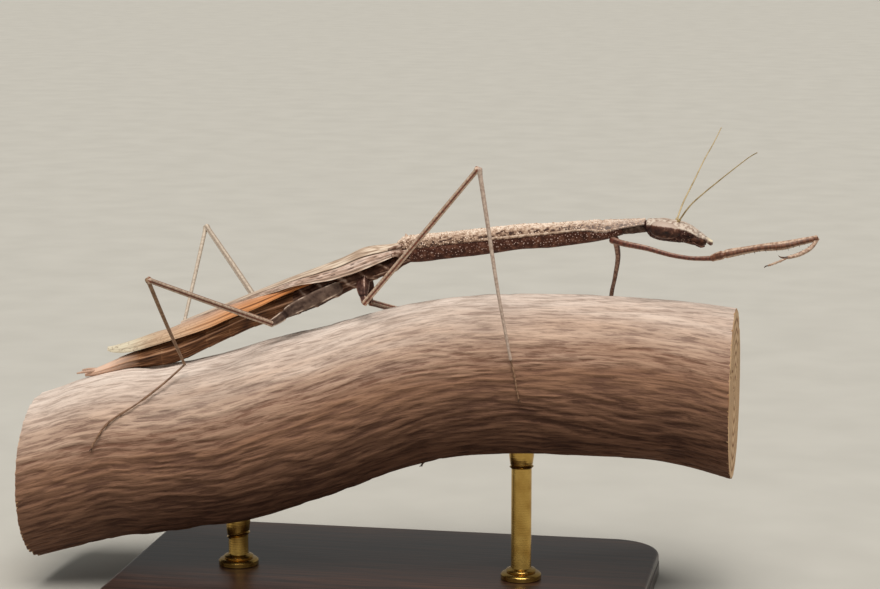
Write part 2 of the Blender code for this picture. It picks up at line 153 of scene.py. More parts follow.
# --- Display base --------------------------------------------------------------------------------
# A small plate of beech, sawn with round corners, run round with a bead and stained dark brown
# under a satin lacquer. It lies on the floor and carries both rods.
MM = 0.001
BASE_LENGTH, BASE_WIDTH, BASE_HEIGHT, BASE_CORNER = 84.0, 54.0, 4.0, 8.0
CORNER_STEPS = 14
# height and inset of the edge, from the underside up
BASE_EDGE = [(0.0, 0.35), (0.12, 0.1), (0.35, 0.0), (2.25, 0.0), (2.35, 0.3), (2.55, 0.3), (2.65, 0.05),
             (3.3, 0.05), (3.6, 0.15), (3.82, 0.35), (3.95, 0.6), (4.0, 0.9)]


def skin(name, grids, finish, marks=None, sharp=60.0):
    """One object of closed skins. Each grid is rings of points in mm, and its ends are closed.

    marks holds, for each grid, named values at its points, which materials read as attributes.
    """
    points, faces, values = [], [], {}
    start = 0
    for number, rings in enumerate(grids):
        rings = np.asarray(rings, float)
        count, around = rings.shape[:2]
        body = np.vstack([rings.reshape(-1, 3), rings[0].mean(0), rings[-1].mean(0)])
        index = np.arange(count * around).reshape(count, around)
        beside = np.roll(index, -1, axis=1)
        quads = np.stack([index[:-1], beside[:-1], beside[1:], index[1:]], axis=-1).reshape(-1, 4)
        first, last = count * around, count * around + 1
        caps = [(b, a, first) for a, b in zip(index[0], beside[0])]
        caps += [(a, b, last) for a, b in zip(index[-1], beside[-1])]
        corners = np.array([quad[:3] for quad in quads] + [quad[[0, 2, 3]] for quad in quads] + caps)
        a, b, c = (body[corners[:, k]] for k in range(3))
        inside_out = np.einsum("ij,ij->i", a, np.cross(b, c)).sum() < 0
        for face in quads.tolist() + [list(cap) for cap in caps]:
            faces.append([start + corner for corner in (face[::-1] if inside_out else face)])
        for mark, grid in (marks[number] if marks else {}).items():
            grid = np.broadcast_to(grid, (count, around))
            values.setdefault(mark, []).append(np.concatenate(
                [grid.ravel(), [grid[0].mean(), grid[-1].mean()]]))
        points.append(body)
        start += len(body)
    mesh = bpy.data.meshes.new(name)
    mesh.from_pydata((np.vstack(points) * MM).tolist(), [], faces)
    for mark, parts in values.items():
        attribute = mesh.attributes.new(mark, "FLOAT", "POINT")
        attribute.data.foreach_set("value", np.concatenate(parts).astype(np.float32))
    mesh.shade_smooth()
    mesh.set_sharp_from_angle(angle=math.radians(sharp))
    mesh.materials.append(finish)
    piece = bpy.data.objects.new(name, mesh)
    bpy.context.scene.collection.objects.link(piece)
    return piece


def lay_on(tree, shader, colour, relief):
    """Gives a finish its colour and its relief."""
    tree.links.new(colour, shader.inputs["Base Color"])
    tree.links.new(relief.outputs["Normal"], shader.inputs["Normal"])


def fit(piece, slot, *nodes):
    """Fixes a piece to the model, in place of the plain nodes that it stands for."""
    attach(piece, "root")
    if nodes:
        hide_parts(*nodes)


# Stained beech: dark brown pores drawn out along the grain, 0.6 mm apart, under satin lacquer.
stained_beech, tree, shader = new_finish("stained_beech_lacquered", 0.38, Coat_Weight=0.25,
                                         Coat_Roughness=0.3)
place = add_node(tree, "ShaderNodeTexCoord")
lie = add_node(tree, "ShaderNodeMapping",
               {"Vector": place.outputs["Object"], "Scale": (70.0, 1600.0, 900.0)})
pores = add_node(tree, "ShaderNodeTexNoise", {"Vector": lie.outputs["Vector"], "Scale": 1.0, "Detail": 4.0})
tint = add_node(tree, "ShaderNodeValToRGB", {"Fac": pores.outputs["Fac"]},
                stops=((0.32, "1d110b"), (0.7, "4b2f1f"), (0.5, "35211a")))
relief = add_node(tree, "ShaderNodeBump", {"Height": pores.outputs["Fac"], "Distance": 0.00004})
lay_on(tree, shader, tint.outputs["Color"], relief)

base_rings = []
for height, inset in BASE_EDGE:
    ring = []
    for corner in range(4):
        middle_x = (1 if corner in (0, 3) else -1) * (BASE_LENGTH / 2 - BASE_CORNER)
        middle_y = (1 if corner in (0, 1) else -1) * (BASE_WIDTH / 2 - BASE_CORNER)
        for step in range(CORNER_STEPS + 1):
            turn = math.pi / 2 * (corner + step / CORNER_STEPS)
            reach = BASE_CORNER - inset
            ring.append((middle_x + reach * math.cos(turn), middle_y + reach * math.sin(turn), height))
    base_rings.append(ring)
fit(skin("stand_base_plate", [base_rings], stained_beech, sharp=40.0), "stand_wood", "stand_base")

# --- Branch --------------------------------------------------------------------------------------
# A bent length of driftwood, stripped of its bark and weathered until the soft grain has worn back
# between long wavy strands. Both ends are sawn square. The top has bleached; the darker underside is
# partly painted shade.
# Its stations: place along X, height of the middle, half height, half width
PERCH = [
    (-57.0, 17.45, 13.35, 12.8), (-53.0, 18.75, 13.45, 12.8), (-49.0, 20.1, 13.7, 13.0),
    (-41.9, 21.9, 13.7, 13.1),
    (-37.7, 22.37, 13.67, 13.1), (-32.5, 23.27, 13.57, 13.0), (-28.8, 24.07, 13.67, 13.1),
    (-23.8, 25.17, 13.97, 13.3), (-18.7, 26.77, 14.17, 13.4), (-13.6, 28.37, 13.97, 13.2),
    (-8.8, 29.87, 13.77, 13.0), (-4.7, 31.42, 13.52, 12.9), (3.4, 34.2, 13.0, 12.6),
    (11.4, 36.0, 12.6, 12.5),
    (19.3, 36.8, 12.5, 12.4), (27.2, 37.0, 12.5, 12.4), (35.0, 37.0, 12.5, 12.4), (42.7, 36.7, 12.5, 12.4),
    (49.0, 36.1, 12.8, 12.6), (55.0, 35.0, 13.3, 13.0),
]
PERCH_ROWS, PERCH_SIDES = 246, 396
SAW_RECESS = 0.12       # the side stops this far short of the sawn faces
STRAND_DEPTH, HAIR_DEPTH, SWELL_DEPTH = 0.22, 0.24, 0.18
CREST = 0.08            # how far the highest strands rise over the branch's plain outline


def smooth(stations, steps):
    """Rows of numbers on one smooth curve through the stations."""
    rows = np.array([stations[0], *stations, stations[-1]], float)
    t = (np.arange(steps) / steps)[:, None]
    spans = [0.5 * (2 * b + (c - a) * t + (2 * a - 5 * b + 4 * c - d) * t ** 2
                    + (3 * b - a - 3 * c + d) * t ** 3)
             for a, b, c, d in zip(rows, rows[1:], rows[2:], rows[3:])]
    return np.vstack([*spans, rows[-1:]])


def waver(u, v, seed, rounds=256):
    """A smooth random value from -1 to 1 at every u and v, which repeats after so many rounds of v."""
    table = np.random.default_rng(seed).uniform(-1.0, 1.0, (256, rounds))
    low_u, low_v = np.floor(u).astype(int), np.floor(v).astype(int)
    ease_u, ease_v = ((part * part * (3 - 2 * part)) for part in (u - low_u, v - low_v))
    near, far = ((1 - ease_v) * table[row % 256, low_v % rounds]
                 + ease_v * table[row % 256, (low_v + 1) % rounds]
                 for row in (low_u, low_u + 1))
    return (1 - ease_u) * near + ease_u * far


perch_table = smooth(PERCH, 8)


def perch_at(x):
    """Height of the branch's middle, half its height and half its width, at places along X."""
    return [np.interp(x, perch_table[:, 0], column) for column in perch_table.T[1:]]


# Weathered driftwood: bleached strands over brown grooves, with dry hair-fine checks. It is darker and
# redder towards the underside and the front end, partly from weathering and partly as painted shade,
# and the grooves darken more on the underside as painted shade. The surface is quite matt.
driftwood, tree, shader = new_finish("weathered_driftwood", 0.86, Specular_IOR_Level=0.25)
place = add_node(tree, "ShaderNodeTexCoord")
bleach_and_shade_mark = add_node(tree, "ShaderNodeAttribute", attribute_name="bleach_and_shade")
groove = add_node(tree, "ShaderNodeAttribute", attribute_name="groove")
bend = add_node(tree, "ShaderNodeAttribute", attribute_name="bend")
dropped = add_node(tree, "ShaderNodeCombineXYZ", {"Z": bend.outputs["Fac"]})
straight = add_node(tree, "ShaderNodeVectorMath", {0: place.outputs["Object"], 1: dropped.outputs[0]},
                    operation="SUBTRACT")
lie = add_node(tree, "ShaderNodeMapping", {"Vector": straight.outputs[0], "Scale": (240.0, 2500.0, 2500.0)})
checks = add_node(tree, "ShaderNodeTexNoise", {"Vector": lie.outputs["Vector"], "Scale": 1.0, "Detail": 5.0,
                                               "Roughness": 0.65})
lengthwise = add_node(tree, "ShaderNodeMapping",
                      {"Vector": straight.outputs[0], "Scale": (50.0, 420.0, 420.0)})
broad = add_node(tree, "ShaderNodeTexNoise",
                 {"Vector": lengthwise.outputs["Vector"], "Scale": 1.0, "Detail": 4.0})
shift = add_node(tree, "ShaderNodeMath", {0: broad.outputs["Fac"], 1: 0.5}, operation="SUBTRACT")
weather_and_shade = add_node(tree, "ShaderNodeMath", {0: shift.outputs[0], 1: 0.28, 2: bleach_and_shade_mark.outputs["Fac"]},
                   operation="MULTIPLY_ADD")
strand_tint = add_node(tree, "ShaderNodeValToRGB", {"Fac": weather_and_shade.outputs[0]},
                       stops=((0.0, "6f4d3b"), (1.0, "e9dacf"), (0.42, "957058"), (0.70, "cbaf9b")))
groove_tint = add_node(tree, "ShaderNodeValToRGB", {"Fac": weather_and_shade.outputs[0]},
                       stops=((0.0, "3c2318"), (1.0, "b3a195"), (0.55, "745444")))
fine = add_node(tree, "ShaderNodeMapRange",
                {"Value": checks.outputs["Fac"], "From Min": 0.40, "From Max": 0.54, "To Min": 0.62,
                 "To Max": 0.0})
deep = add_node(tree, "ShaderNodeMath", {0: groove.outputs["Fac"], 1: fine.outputs["Result"]},
                operation="ADD", use_clamp=True)
wood = add_node(tree, "ShaderNodeMix", {0: deep.outputs[0], 6: strand_tint.outputs["Color"],
                                        7: groove_tint.outputs["Color"]}, data_type="RGBA")
relief = add_node(tree, "ShaderNodeBump", {"Height": checks.outputs["Fac"], "Distance": 0.00026})
lay_on(tree, shader, wood.outputs[2], relief)

along = np.linspace(PERCH[0][0] + SAW_RECESS, PERCH[-1][0] - SAW_RECESS, PERCH_ROWS)[:, None]
turns = np.linspace(0.0, math.tau, PERCH_SIDES, endpoint=False)[None, :]
around = turns / math.tau
drift = 1.8 * waver(along / 21, around * 5, 11, 5) + 0.35 * waver(along / 8, around * 14, 12, 14)
strands = waver(along / 6.0, around * 84 + drift * 1.3, 13, 84)
hairs = waver(along / 3.6, around * 180 + drift * 2.8, 14, 180)
bulges = waver(along / 14, around * 9 + drift * 0.3, 15, 9)
ridge = np.clip(0.7 + 0.9 * strands, 0, 1)
thread = np.clip(0.6 + 1.1 * hairs, 0, 1)
patchy = 0.78 + 0.22 * waver(along / 17, around * 7, 16, 7)
height = (CREST + STRAND_DEPTH * patchy * (ridge - 1) + HAIR_DEPTH * (thread - 1)
          + SWELL_DEPTH * 0.5 * (bulges - 1))
middle, tall, wide = perch_at(along)
perch_rings = np.stack([along + 0 * turns, (wide + height) * np.cos(turns),
                        middle + (tall + height) * np.sin(turns)], axis=-1)
# bleach_and_shade: 1 on top and 0 underneath, a little less towards the front; it pales the bleached top
# and darkens the underside and front, partly as painted shade
bleach_and_shade = np.clip(0.5 + 0.5 * np.sin(turns - 0.25 * np.cos(turns)) - 0.09 * np.clip(along / 40, 0, 1), 0, 1)
# The worn grooves are darker, and darker still underneath, where the extra is painted shade
groove_wear_and_shade = np.clip(((1 - ridge) * patchy * 0.42 + (1 - thread) * 0.38) * (1.15 - 0.35 * bleach_and_shade), 0, 1)
fit(skin("branch", [perch_rings], driftwood,
         [{"bleach_and_shade": bleach_and_shade, "groove": groove_wear_and_shade, "bend": middle * MM + 0 * turns}]), "driftwood", "perch")

HALF_RING = 0.9         # half the way from one growth ring to the next
# Sawn end grain: pale buff, with growth rings 1.8 mm apart, drawn coarser than real ones, and
# drying cracks.
end_grain, tree, shader = new_finish("sawn_end_grain", 0.8, Specular_IOR_Level=0.25)
place = add_node(tree, "ShaderNodeTexCoord")
pith = add_node(tree, "ShaderNodeAttribute", attribute_name="pith")
crack = add_node(tree, "ShaderNodeAttribute", attribute_name="crack")
stir = add_node(tree, "ShaderNodeTexNoise",
                {"Vector": place.outputs["Object"], "Scale": 260.0, "Detail": 3.0})
bent = add_node(tree, "ShaderNodeMath", {0: stir.outputs["Fac"], 1: 1.6, 2: pith.outputs["Fac"]},
                operation="MULTIPLY_ADD")
growth = add_node(tree, "ShaderNodeMath", {0: bent.outputs[0], 1: HALF_RING}, operation="PINGPONG")
ring_tint = add_node(tree, "ShaderNodeValToRGB", {"Fac": growth.outputs[0]},
                     stops=((0.05, "8a6244"), (0.75, "d8b791"), (0.3, "c39d76")))
split = add_node(tree, "ShaderNodeMix", {0: crack.outputs["Fac"], 6: ring_tint.outputs["Color"],
                                         7: linear("3a2417")}, data_type="RGBA")
tree.links.new(split.outputs[2], shader.inputs["Base Color"])
CRACKS = ((0.7, 0.9), (2.6, 0.55), (4.4, 0.75))     # turn of each drying crack, and its reach
DISC_DEPTH = 1.5        # how far the sawn disc's hidden back edge lies inside the branch
for end_name, end_x, outward, edge_ring in (("rear", PERCH[0][0], -1, perch_rings[0]),
                                            ("front", PERCH[-1][0], 1, perch_rings[-1])):
    middle, tall, wide = perch_at(end_x)
    disc_turns = turns[:, ::2]
    inner = np.append(np.linspace(0.02, 1.0, 44), 0.96)[:, None]
    split_depth = 0 * inner * disc_turns
    for crack_turn, crack_reach in CRACKS:
        off = np.angle(np.exp(1j * (disc_turns - crack_turn - 0.15 * np.sin(9 * inner)))) * inner * tall
        sliver = np.exp(-(off / (0.08 + 0.16 * inner)) ** 2) * np.clip(inner / crack_reach, 0, 1) ** 0.5
        split_depth = np.maximum(split_depth, sliver)
    rounded = SAW_RECESS * np.clip((inner - 0.97) / 0.03, 0, 1) ** 2
    sunk = (0.03 * np.abs(np.sin(inner * tall / HALF_RING * math.pi)) * (inner < 0.97)
            + 0.35 * split_depth + rounded)
    sunk[-1] = DISC_DEPTH
    disc = np.stack([end_x - outward * sunk, edge_ring[::2, 1] * inner,
                     middle + (edge_ring[::2, 2] - middle) * inner], axis=-1)
    marks = {"pith": inner * tall + 0 * disc_turns, "crack": split_depth}
    fit(skin(f"branch_sawn_{end_name}", [disc], end_grain, [marks]), "driftwood")

# --- Rods ----------------------------------------------------------------------------------------
# Two brass rods, turned with a round collar at the foot and a ferrule below the branch, pinned
# into the base and into the wood.
ROD_PLACES = {"rear": -24.0, "front": 22.0}
ROD_RADIUS = 1.6
# height over the base and radius of the collar; depth under the wood and radius of the ferrule
COLLAR = [(0.0, 3.05), (0.12, 3.2), (0.75, 3.2), (0.98, 3.0), (1.1, 2.6), (1.16, 2.25), (1.3, 2.25),
          (1.42, 2.4), (1.55, 2.3), (1.66, 1.9), (1.8, 1.66), (2.0, ROD_RADIUS)]
FERRULE = [(2.6, ROD_RADIUS), (2.5, 1.72), (2.3, 1.9), (2.1, 1.72), (2.0, 1.68), (1.9, 1.78), (0.6, 1.95),
           (-0.4, 1.95)]
# Turned brass: warm yellow metal with fine tool rings 0.4 mm apart, drawn coarser than real ones.
brass, tree, shader = new_finish("turned_brass", 0.26, Metallic=1.0)
place = add_node(tree, "ShaderNodeTexCoord")
tool = add_node(tree, "ShaderNodeTexWave",
                {"Vector": place.outputs["Object"], "Scale": 800.0, "Distortion": 1.5, "Detail": 2.0},
                bands_direction="Z")
tarnish = add_node(tree, "ShaderNodeTexNoise",
                   {"Vector": place.outputs["Object"], "Scale": 420.0, "Detail": 4.0})
tint = add_node(tree, "ShaderNodeValToRGB", {"Fac": tarnish.outputs["Fac"]},
                stops=((0.3, "a8823f"), (0.7, "c9a65c")))
relief = add_node(tree, "ShaderNodeBump",
                  {"Height": tool.outputs["Fac"], "Distance": 0.00001, "Strength": 0.5})
lay_on(tree, shader, tint.outputs["Color"], relief)
for rod_name, rod_x in ROD_PLACES.items():
    profile = [(BASE_HEIGHT + rise, radius, 0.0) for rise, radius in COLLAR]
    profile += [(-drop, radius, 1.0) for drop, radius in FERRULE]
    rod_turns = np.linspace(0.0, math.tau, 48, endpoint=False)
    rod_rings = []
    for level, radius, from_wood in profile:
        x, y = rod_x + radius * np.cos(rod_turns), radius * np.sin(rod_turns)
        middle, tall, wide = perch_at(x)
        underside = middle - tall * np.sqrt(1 - (y / wide) ** 2)
        rod_rings.append(np.stack([x, y, level + from_wood * underside], axis=-1))
    fit(skin(f"stand_{rod_name}_rod", [rod_rings], brass, sharp=40.0), "stand_brass",
        f"stand_rod_{rod_name}")

# --- Pronotum and prosternum ---------------------------------------------------------------------
# The long first segment is a rough back shield, closed below by a smoother dark belly. Pale
# granules crowd the shield, and rows of low tubercles stand along the belly's sides.
# place along X, belly, rim between shield and belly, back, half width
PROTHORAX = [(2.3, 54.5, 55.9, 57.1, 0.75), (2.9, 54.1, 56.0, 57.6, 1.15), (3.7, 54.0, 56.2, 58.0, 1.50),
             (6.0, 54.1, 56.5, 58.35, 1.85), (9.3, 54.6, 57.0, 58.7, 1.90), (16.4, 55.6, 57.9, 59.6, 1.75),
             (21.5, 56.5, 58.5, 60.3, 1.60), (26.5, 56.9, 59.1, 60.6, 1.55), (31.5, 57.7, 59.8, 61.1, 1.60),
             (34.5, 58.3, 59.6, 61.35, 1.95), (37.5, 59.2, 60.35, 61.5, 1.75),
             (40.85, 60.45, 60.98, 61.72, 1.40)]
BELLY_FRONT = 37.6      # where the belly ends under the neck
# turn below the rim, spacing and radius of each row
TUBERCLE_ROWS = ((0.05, 0.40, 0.065), (0.28, 0.42, 0.10), (0.52, 0.42, 0.115), (0.78, 0.55, 0.10))
ARCH_POINTS = 72
SULCUS = 34.4           # the cross groove over the forelegs' roots
GRANULE_SPACING, GRANULE_SMALLEST, GRANULE_LARGEST = 0.26, 0.08, 0.17      # the last two are radii


def stamp(name, profile, sides):
    """A small turned shape that is repeated later. The profile is (height, radius), base first."""
    spins = np.linspace(0.0, math.tau, sides, endpoint=False)
    rings = [np.stack([radius * np.cos(spins), radius * np.sin(spins), height + 0 * spins], axis=-1)
             for height, radius in profile]
    return skin(name, [rings], None)


def new_group(name, sockets):
    """A geometry node group with its named inputs, and its input and output nodes."""
    group = bpy.data.node_groups.new(name, "GeometryNodeTree")
    group.interface.new_socket("Geometry", in_out="OUTPUT", socket_type="NodeSocketGeometry")
    group.interface.new_socket("Geometry", in_out="INPUT", socket_type="NodeSocketGeometry")
    for socket, kind in sockets.items():
        group.interface.new_socket(socket, in_out="INPUT", socket_type="NodeSocket" + kind)
    return group, add_node(group, "NodeGroupInput")


def make_real(piece, group, **inputs):
    """Runs a node group on a piece and keeps the result as a plain mesh."""
    modifier = piece.modifiers.new(group.name, "NODES")
    modifier.node_group = group
    for item in group.interface.items_tree:
        if item.in_out == "INPUT" and item.name in inputs:
            modifier[item.identifier] = inputs[item.name]
    bpy.context.view_layer.update()
    plain = bpy.data.meshes.new_from_object(piece.evaluated_get(bpy.context.evaluated_depsgraph_get()))
    piece.modifiers.clear()
    piece.data = plain
    plain.shade_smooth()
    return piece


# Grains strewn over a surface where its "rough" mark is high, each turned to the surface.
strewn, given = new_group("strewn_grains", {"Grain": "Object", "Spacing": "Float", "Smallest": "Float",
                                            "Largest": "Float", "Seed": "Int", "Finish": "Material"})
where = add_node(strewn, "GeometryNodeInputNamedAttribute", {"Name": "rough"}, data_type="FLOAT")
strew = add_node(strewn, "GeometryNodeDistributePointsOnFaces",
                 {"Mesh": given.outputs["Geometry"], "Distance Min": given.outputs["Spacing"],
                  "Density Max": 4.0e7, "Density Factor": where.outputs["Attribute"],
                  "Seed": given.outputs["Seed"]}, distribute_method="POISSON")
grain = add_node(strewn, "GeometryNodeObjectInfo", {"Object": given.outputs["Grain"]})
size = add_node(strewn, "FunctionNodeRandomValue",
                {2: given.outputs["Smallest"], 3: given.outputs["Largest"], "Seed": given.outputs["Seed"]},
                data_type="FLOAT")
grains = add_node(strewn, "GeometryNodeInstanceOnPoints",
                  {"Points": strew.outputs["Points"], "Instance": grain.outputs["Geometry"],
                   "Rotation": strew.outputs["Rotation"], "Scale": size.outputs[1]})
real = add_node(strewn, "GeometryNodeRealizeInstances", {"Geometry": grains.outputs["Instances"]})
dressed = add_node(strewn, "GeometryNodeSetMaterial", {"Geometry": real.outputs["Geometry"],
                                                       "Material": given.outputs["Finish"]})
add_node(strewn, "NodeGroupOutput", {"Geometry": dressed.outputs["Geometry"]})

# Studs set on given points, each turned to its "out" direction and sized by its "size".
studded, given = new_group("studs_on_points", {"Stud": "Object", "Finish": "Material"})
out = add_node(studded, "GeometryNodeInputNamedAttribute", {"Name": "out"}, data_type="FLOAT_VECTOR")
size = add_node(studded, "GeometryNodeInputNamedAttribute", {"Name": "size"}, data_type="FLOAT_VECTOR")
turned = add_node(studded, "FunctionNodeAlignRotationToVector", {"Vector": out.outputs["Attribute"]},
                  axis="Z")
stud = add_node(studded, "GeometryNodeObjectInfo", {"Object": given.outputs["Stud"]})
studs = add_node(studded, "GeometryNodeInstanceOnPoints",
                 {"Points": given.outputs["Geometry"], "Instance": stud.outputs["Geometry"],
                  "Rotation": turned.outputs["Rotation"], "Scale": size.outputs["Attribute"]})
real = add_node(studded, "GeometryNodeRealizeInstances", {"Geometry": studs.outputs["Instances"]})
dressed = add_node(studded, "GeometryNodeSetMaterial", {"Geometry": real.outputs["Geometry"],
                                                        "Material": given.outputs["Finish"]})
add_node(studded, "NodeGroupOutput", {"Geometry": dressed.outputs["Geometry"]})


def strew_on(name, surface, grain_stamp, spacing, smallest, largest, seed, finish):
    """Strews grains over a copy of a surface. Sizes are radii in mm."""
    carrier = bpy.data.objects.new(name, surface.data.copy())
    bpy.context.scene.collection.objects.link(carrier)
    return make_real(carrier, strewn, Grain=grain_stamp, Spacing=spacing * MM, Smallest=smallest,
                     Largest=largest, Seed=seed, Finish=finish)


def stud_points(name, places, outs, sizes, stud_stamp, finish):
    """Sets studs on places in mm. sizes are scales across and along each stud, as three numbers."""
    mesh = bpy.data.meshes.new(name)
    mesh.from_pydata((np.asarray(places, float) * MM).tolist(), [], [])
    for mark, vectors in (("out", outs), ("size", sizes)):
        attribute = mesh.attributes.new(mark, "FLOAT_VECTOR", "POINT")
        attribute.data.foreach_set("vector", np.asarray(vectors, np.float32).ravel())
    carrier = bpy.data.objects.new(name, mesh)
    bpy.context.scene.collection.objects.link(carrier)
    return make_real(carrier, studded, Stud=stud_stamp, Finish=finish)


granule_stamp = stamp("granule_stamp", [(-0.4, 1.0), (0.12, 0.95), (0.36, 0.7), (0.50, 0.25)], 6)
spine_stamp = stamp("spine_stamp", [(-0.1, 0.2), (0.15, 0.18), (0.6, 0.09), (1.0, 0.012)], 6)

# Granulate cuticle: buff grains over brown pits, greyer towards the head; dry and matt. It is paler on
# top and darker down the flanks, in the pits and in the cross furrow, partly its own colour and partly
# painted light and painted shade.
shield_cuticle, tree, shader = new_finish("granulate_buff_cuticle", 0.7, Specular_IOR_Level=0.3)
place = add_node(tree, "ShaderNodeTexCoord")
height = add_node(tree, "ShaderNodeAttribute", attribute_name="relief")
flank_shade = add_node(tree, "ShaderNodeAttribute", attribute_name="flank")
fleck = add_node(tree, "ShaderNodeTexNoise",
                 {"Vector": place.outputs["Object"], "Scale": 2600.0, "Detail": 3.0})
blend = add_node(tree, "ShaderNodeMath", {0: fleck.outputs["Fac"], 1: 0.7, 2: height.outputs["Fac"]},
                 operation="MULTIPLY_ADD")
flank_shaded = add_node(tree, "ShaderNodeMath", {0: flank_shade.outputs["Fac"], 1: -0.36, 2: blend.outputs[0]},
                 operation="MULTIPLY_ADD")
ahead = add_node(tree, "ShaderNodeSeparateXYZ", {"Vector": place.outputs["Object"]})
front = add_node(tree, "ShaderNodeMapRange",
                 {"Value": ahead.outputs["X"], "From Min": 0.026, "From Max": 0.040, "To Min": 0.0,
                  "To Max": 0.45})
tint = add_node(tree, "ShaderNodeValToRGB", {"Fac": flank_shaded.outputs[0]},
                stops=((0.12, "3a2318"), (0.86, "ead8c6"), (0.34, "735644"), (0.58, "b39883")))
relief = add_node(tree, "ShaderNodeBump", {"Height": fleck.outputs["Fac"], "Distance": 0.00005})
greyed = add_node(tree, "ShaderNodeMix",
                  {0: front.outputs["Result"], 6: tint.outputs["Color"], 7: linear("aa9d97")},
                  data_type="RGBA")
lay_on(tree, shader, greyed.outputs[2], relief)


def speckled(name, roughness, scale, stops, relief=0.0, gloss=0.25, **sockets):
    """A finish coloured by one fine mottling, its marks about 1/scale metres wide, which also
    raises the surface by the relief, in metres."""
    finish, tree, shader = new_finish(name, roughness, Specular_IOR_Level=gloss, **sockets)
    place = add_node(tree, "ShaderNodeTexCoord")
    fleck = add_node(tree, "ShaderNodeTexNoise",
                     {"Vector": place.outputs["Object"], "Scale": scale, "Detail": 3.0})
    tint = add_node(tree, "ShaderNodeValToRGB", {"Fac": fleck.outputs["Fac"]}, stops=stops)
    bumps = add_node(tree, "ShaderNodeBump", {"Height": fleck.outputs["Fac"], "Distance": relief})
    lay_on(tree, shader, tint.outputs["Color"], bumps)
    return finish


# Granule caps: the worn tops of the grains, pale straw to buff, each a little different.
granule_cuticle = speckled("pale_granule_caps", 0.6, 1500.0,
                           ((0.34, "a1846f"), (0.64, "e6d1c0"), (0.5, "c4a994")))
# Dark cuticle: chestnut to near black, a little waxy, with faint fine wrinkles.
dark_cuticle = speckled("dark_chestnut_cuticle", 0.5, 1700.0,
                        ((0.3, "331a10"), (0.72, "734a36"), (0.5, "4d2d1f")), 0.00004)

rows = smooth(PROTHORAX, 22)
x, low, rim, high, half = (column[:, None] for column in rows.T)
arch = np.linspace(0.0, math.pi, ARCH_POINTS)[None, :]
under = np.linspace(0.0, 1.0, 16)[None, 1:-1]
pits = waver(x / 0.42, arch * 4.2, 31) * 0.6 + waver(x / 0.2, arch * 9, 32) * 0.4
keel = np.exp(-((arch - math.pi / 2) / 0.09) ** 2)
furrow = np.exp(-((x - SULCUS + 0.5 * np.abs(np.cos(arch))) / 0.22) ** 2)
swell = 0.075 * pits + 0.10 * keel * (x < 34) - 0.14 * furrow
bead = np.exp(-((np.abs(np.cos(arch)) - 0.985) / 0.014) ** 2) * np.clip((x - 12.0) / 8.0, 0, 1)
swell = swell + 0.06 * bead
shield = np.stack([x + 0 * arch, (half + swell) * np.cos(arch), rim + (high - rim + swell) * np.sin(arch)],
                  axis=-1)
floor_part = np.stack([x + 0 * under, -half * (1 - 2 * under) * 0.97, rim - 0.12 + 0 * under], axis=-1)
flank = np.clip(3 * np.abs(np.cos(arch)) - 1.4, 0, 1)
blots = np.clip(waver(x / 0.32, arch * 7, 34) - 0.12, 0, 1) * flank * (1 - bead)
# The relief mark pales the top, the rim bead and the raised grains and darkens the pits and the furrow,
# partly as the cuticle's colour and partly as painted light and painted shade; the flank blots are the
# cuticle's own
relief_and_light_mark = np.hstack([0.30 + 0.22 * np.sin(arch) + 0.24 * pits - 0.25 * furrow + 0.38 * bead
                         - 0.8 * blots, 0 * (x + under)])
# flank: darker down the sides, partly the cuticle's colour and partly painted shade
flank = np.hstack([np.abs(np.cos(arch)) ** 2 + 0 * x, 1 + 0 * (x + under)])
rough = np.hstack([(np.sin(arch) > 0.05) * (1 - np.clip(3 * blots, 0, 0.8))
                   * (0.75 + 0.25 * np.clip(pits * 2, 0, 1)), 0 * (x + under)])
pronotum = skin("pronotum_shield", [np.concatenate([shield, floor_part], axis=1)], shield_cuticle,
                [{"relief": relief_and_light_mark, "flank": flank, "rough": rough}])
granules = strew_on("pronotum_granules", pronotum, granule_stamp, GRANULE_SPACING, GRANULE_SMALLEST,
                    GRANULE_LARGEST, 5, granule_cuticle)
fit(pronotum, "cuticle_shield", "pronotum")
fit(granules, "cuticle_shield")
REAR_TOOTH = (3.75, 0.0, 57.9)      # the small tooth on top of the shield's rear edge
fit(stud_points("pronotum_rear_tooth", [REAR_TOOTH], [(-0.35, 0.0, 1.0)], [(2.0, 2.0, 0.62)], spine_stamp,
                granule_cuticle), "cuticle_shield")

belly_rows = rows[rows[:, 0] <= BELLY_FRONT]
x, low, rim, high, half = (column[:, None] for column in belly_rows.T)
folds = waver(x / 1.3, arch * 3.0, 33) * 0.03
belly = np.stack([x + 0 * arch, (half - 0.06 + folds) * np.cos(arch),
                  rim - 0.05 - (rim - low + folds) * np.sin(arch)], axis=-1)
roof = np.stack([x + 0 * under, -half * (1 - 2 * under) * 0.9, rim - 0.02 + 0 * under], axis=-1)
# Belly cuticle: reddish chestnut, a little waxy, mottled like the wood.
belly_cuticle = speckled("red_chestnut_cuticle", 0.52, 1100.0,
                         ((0.3, "321509"), (0.72, "7c5442"), (0.5, "4c281b")), 0.00005)
fit(skin("prosternum_belly", [np.concatenate([belly, roof], axis=1)], belly_cuticle), "cuticle_body",
    "prosternum")

# Tubercle caps: dull pinkish fawn, darker than the shield's grains.
tubercle_cuticle = speckled("pinkish_tubercle_caps", 0.55, 1500.0, ((0.36, "7a564a"), (0.62, "cbb0a4")))
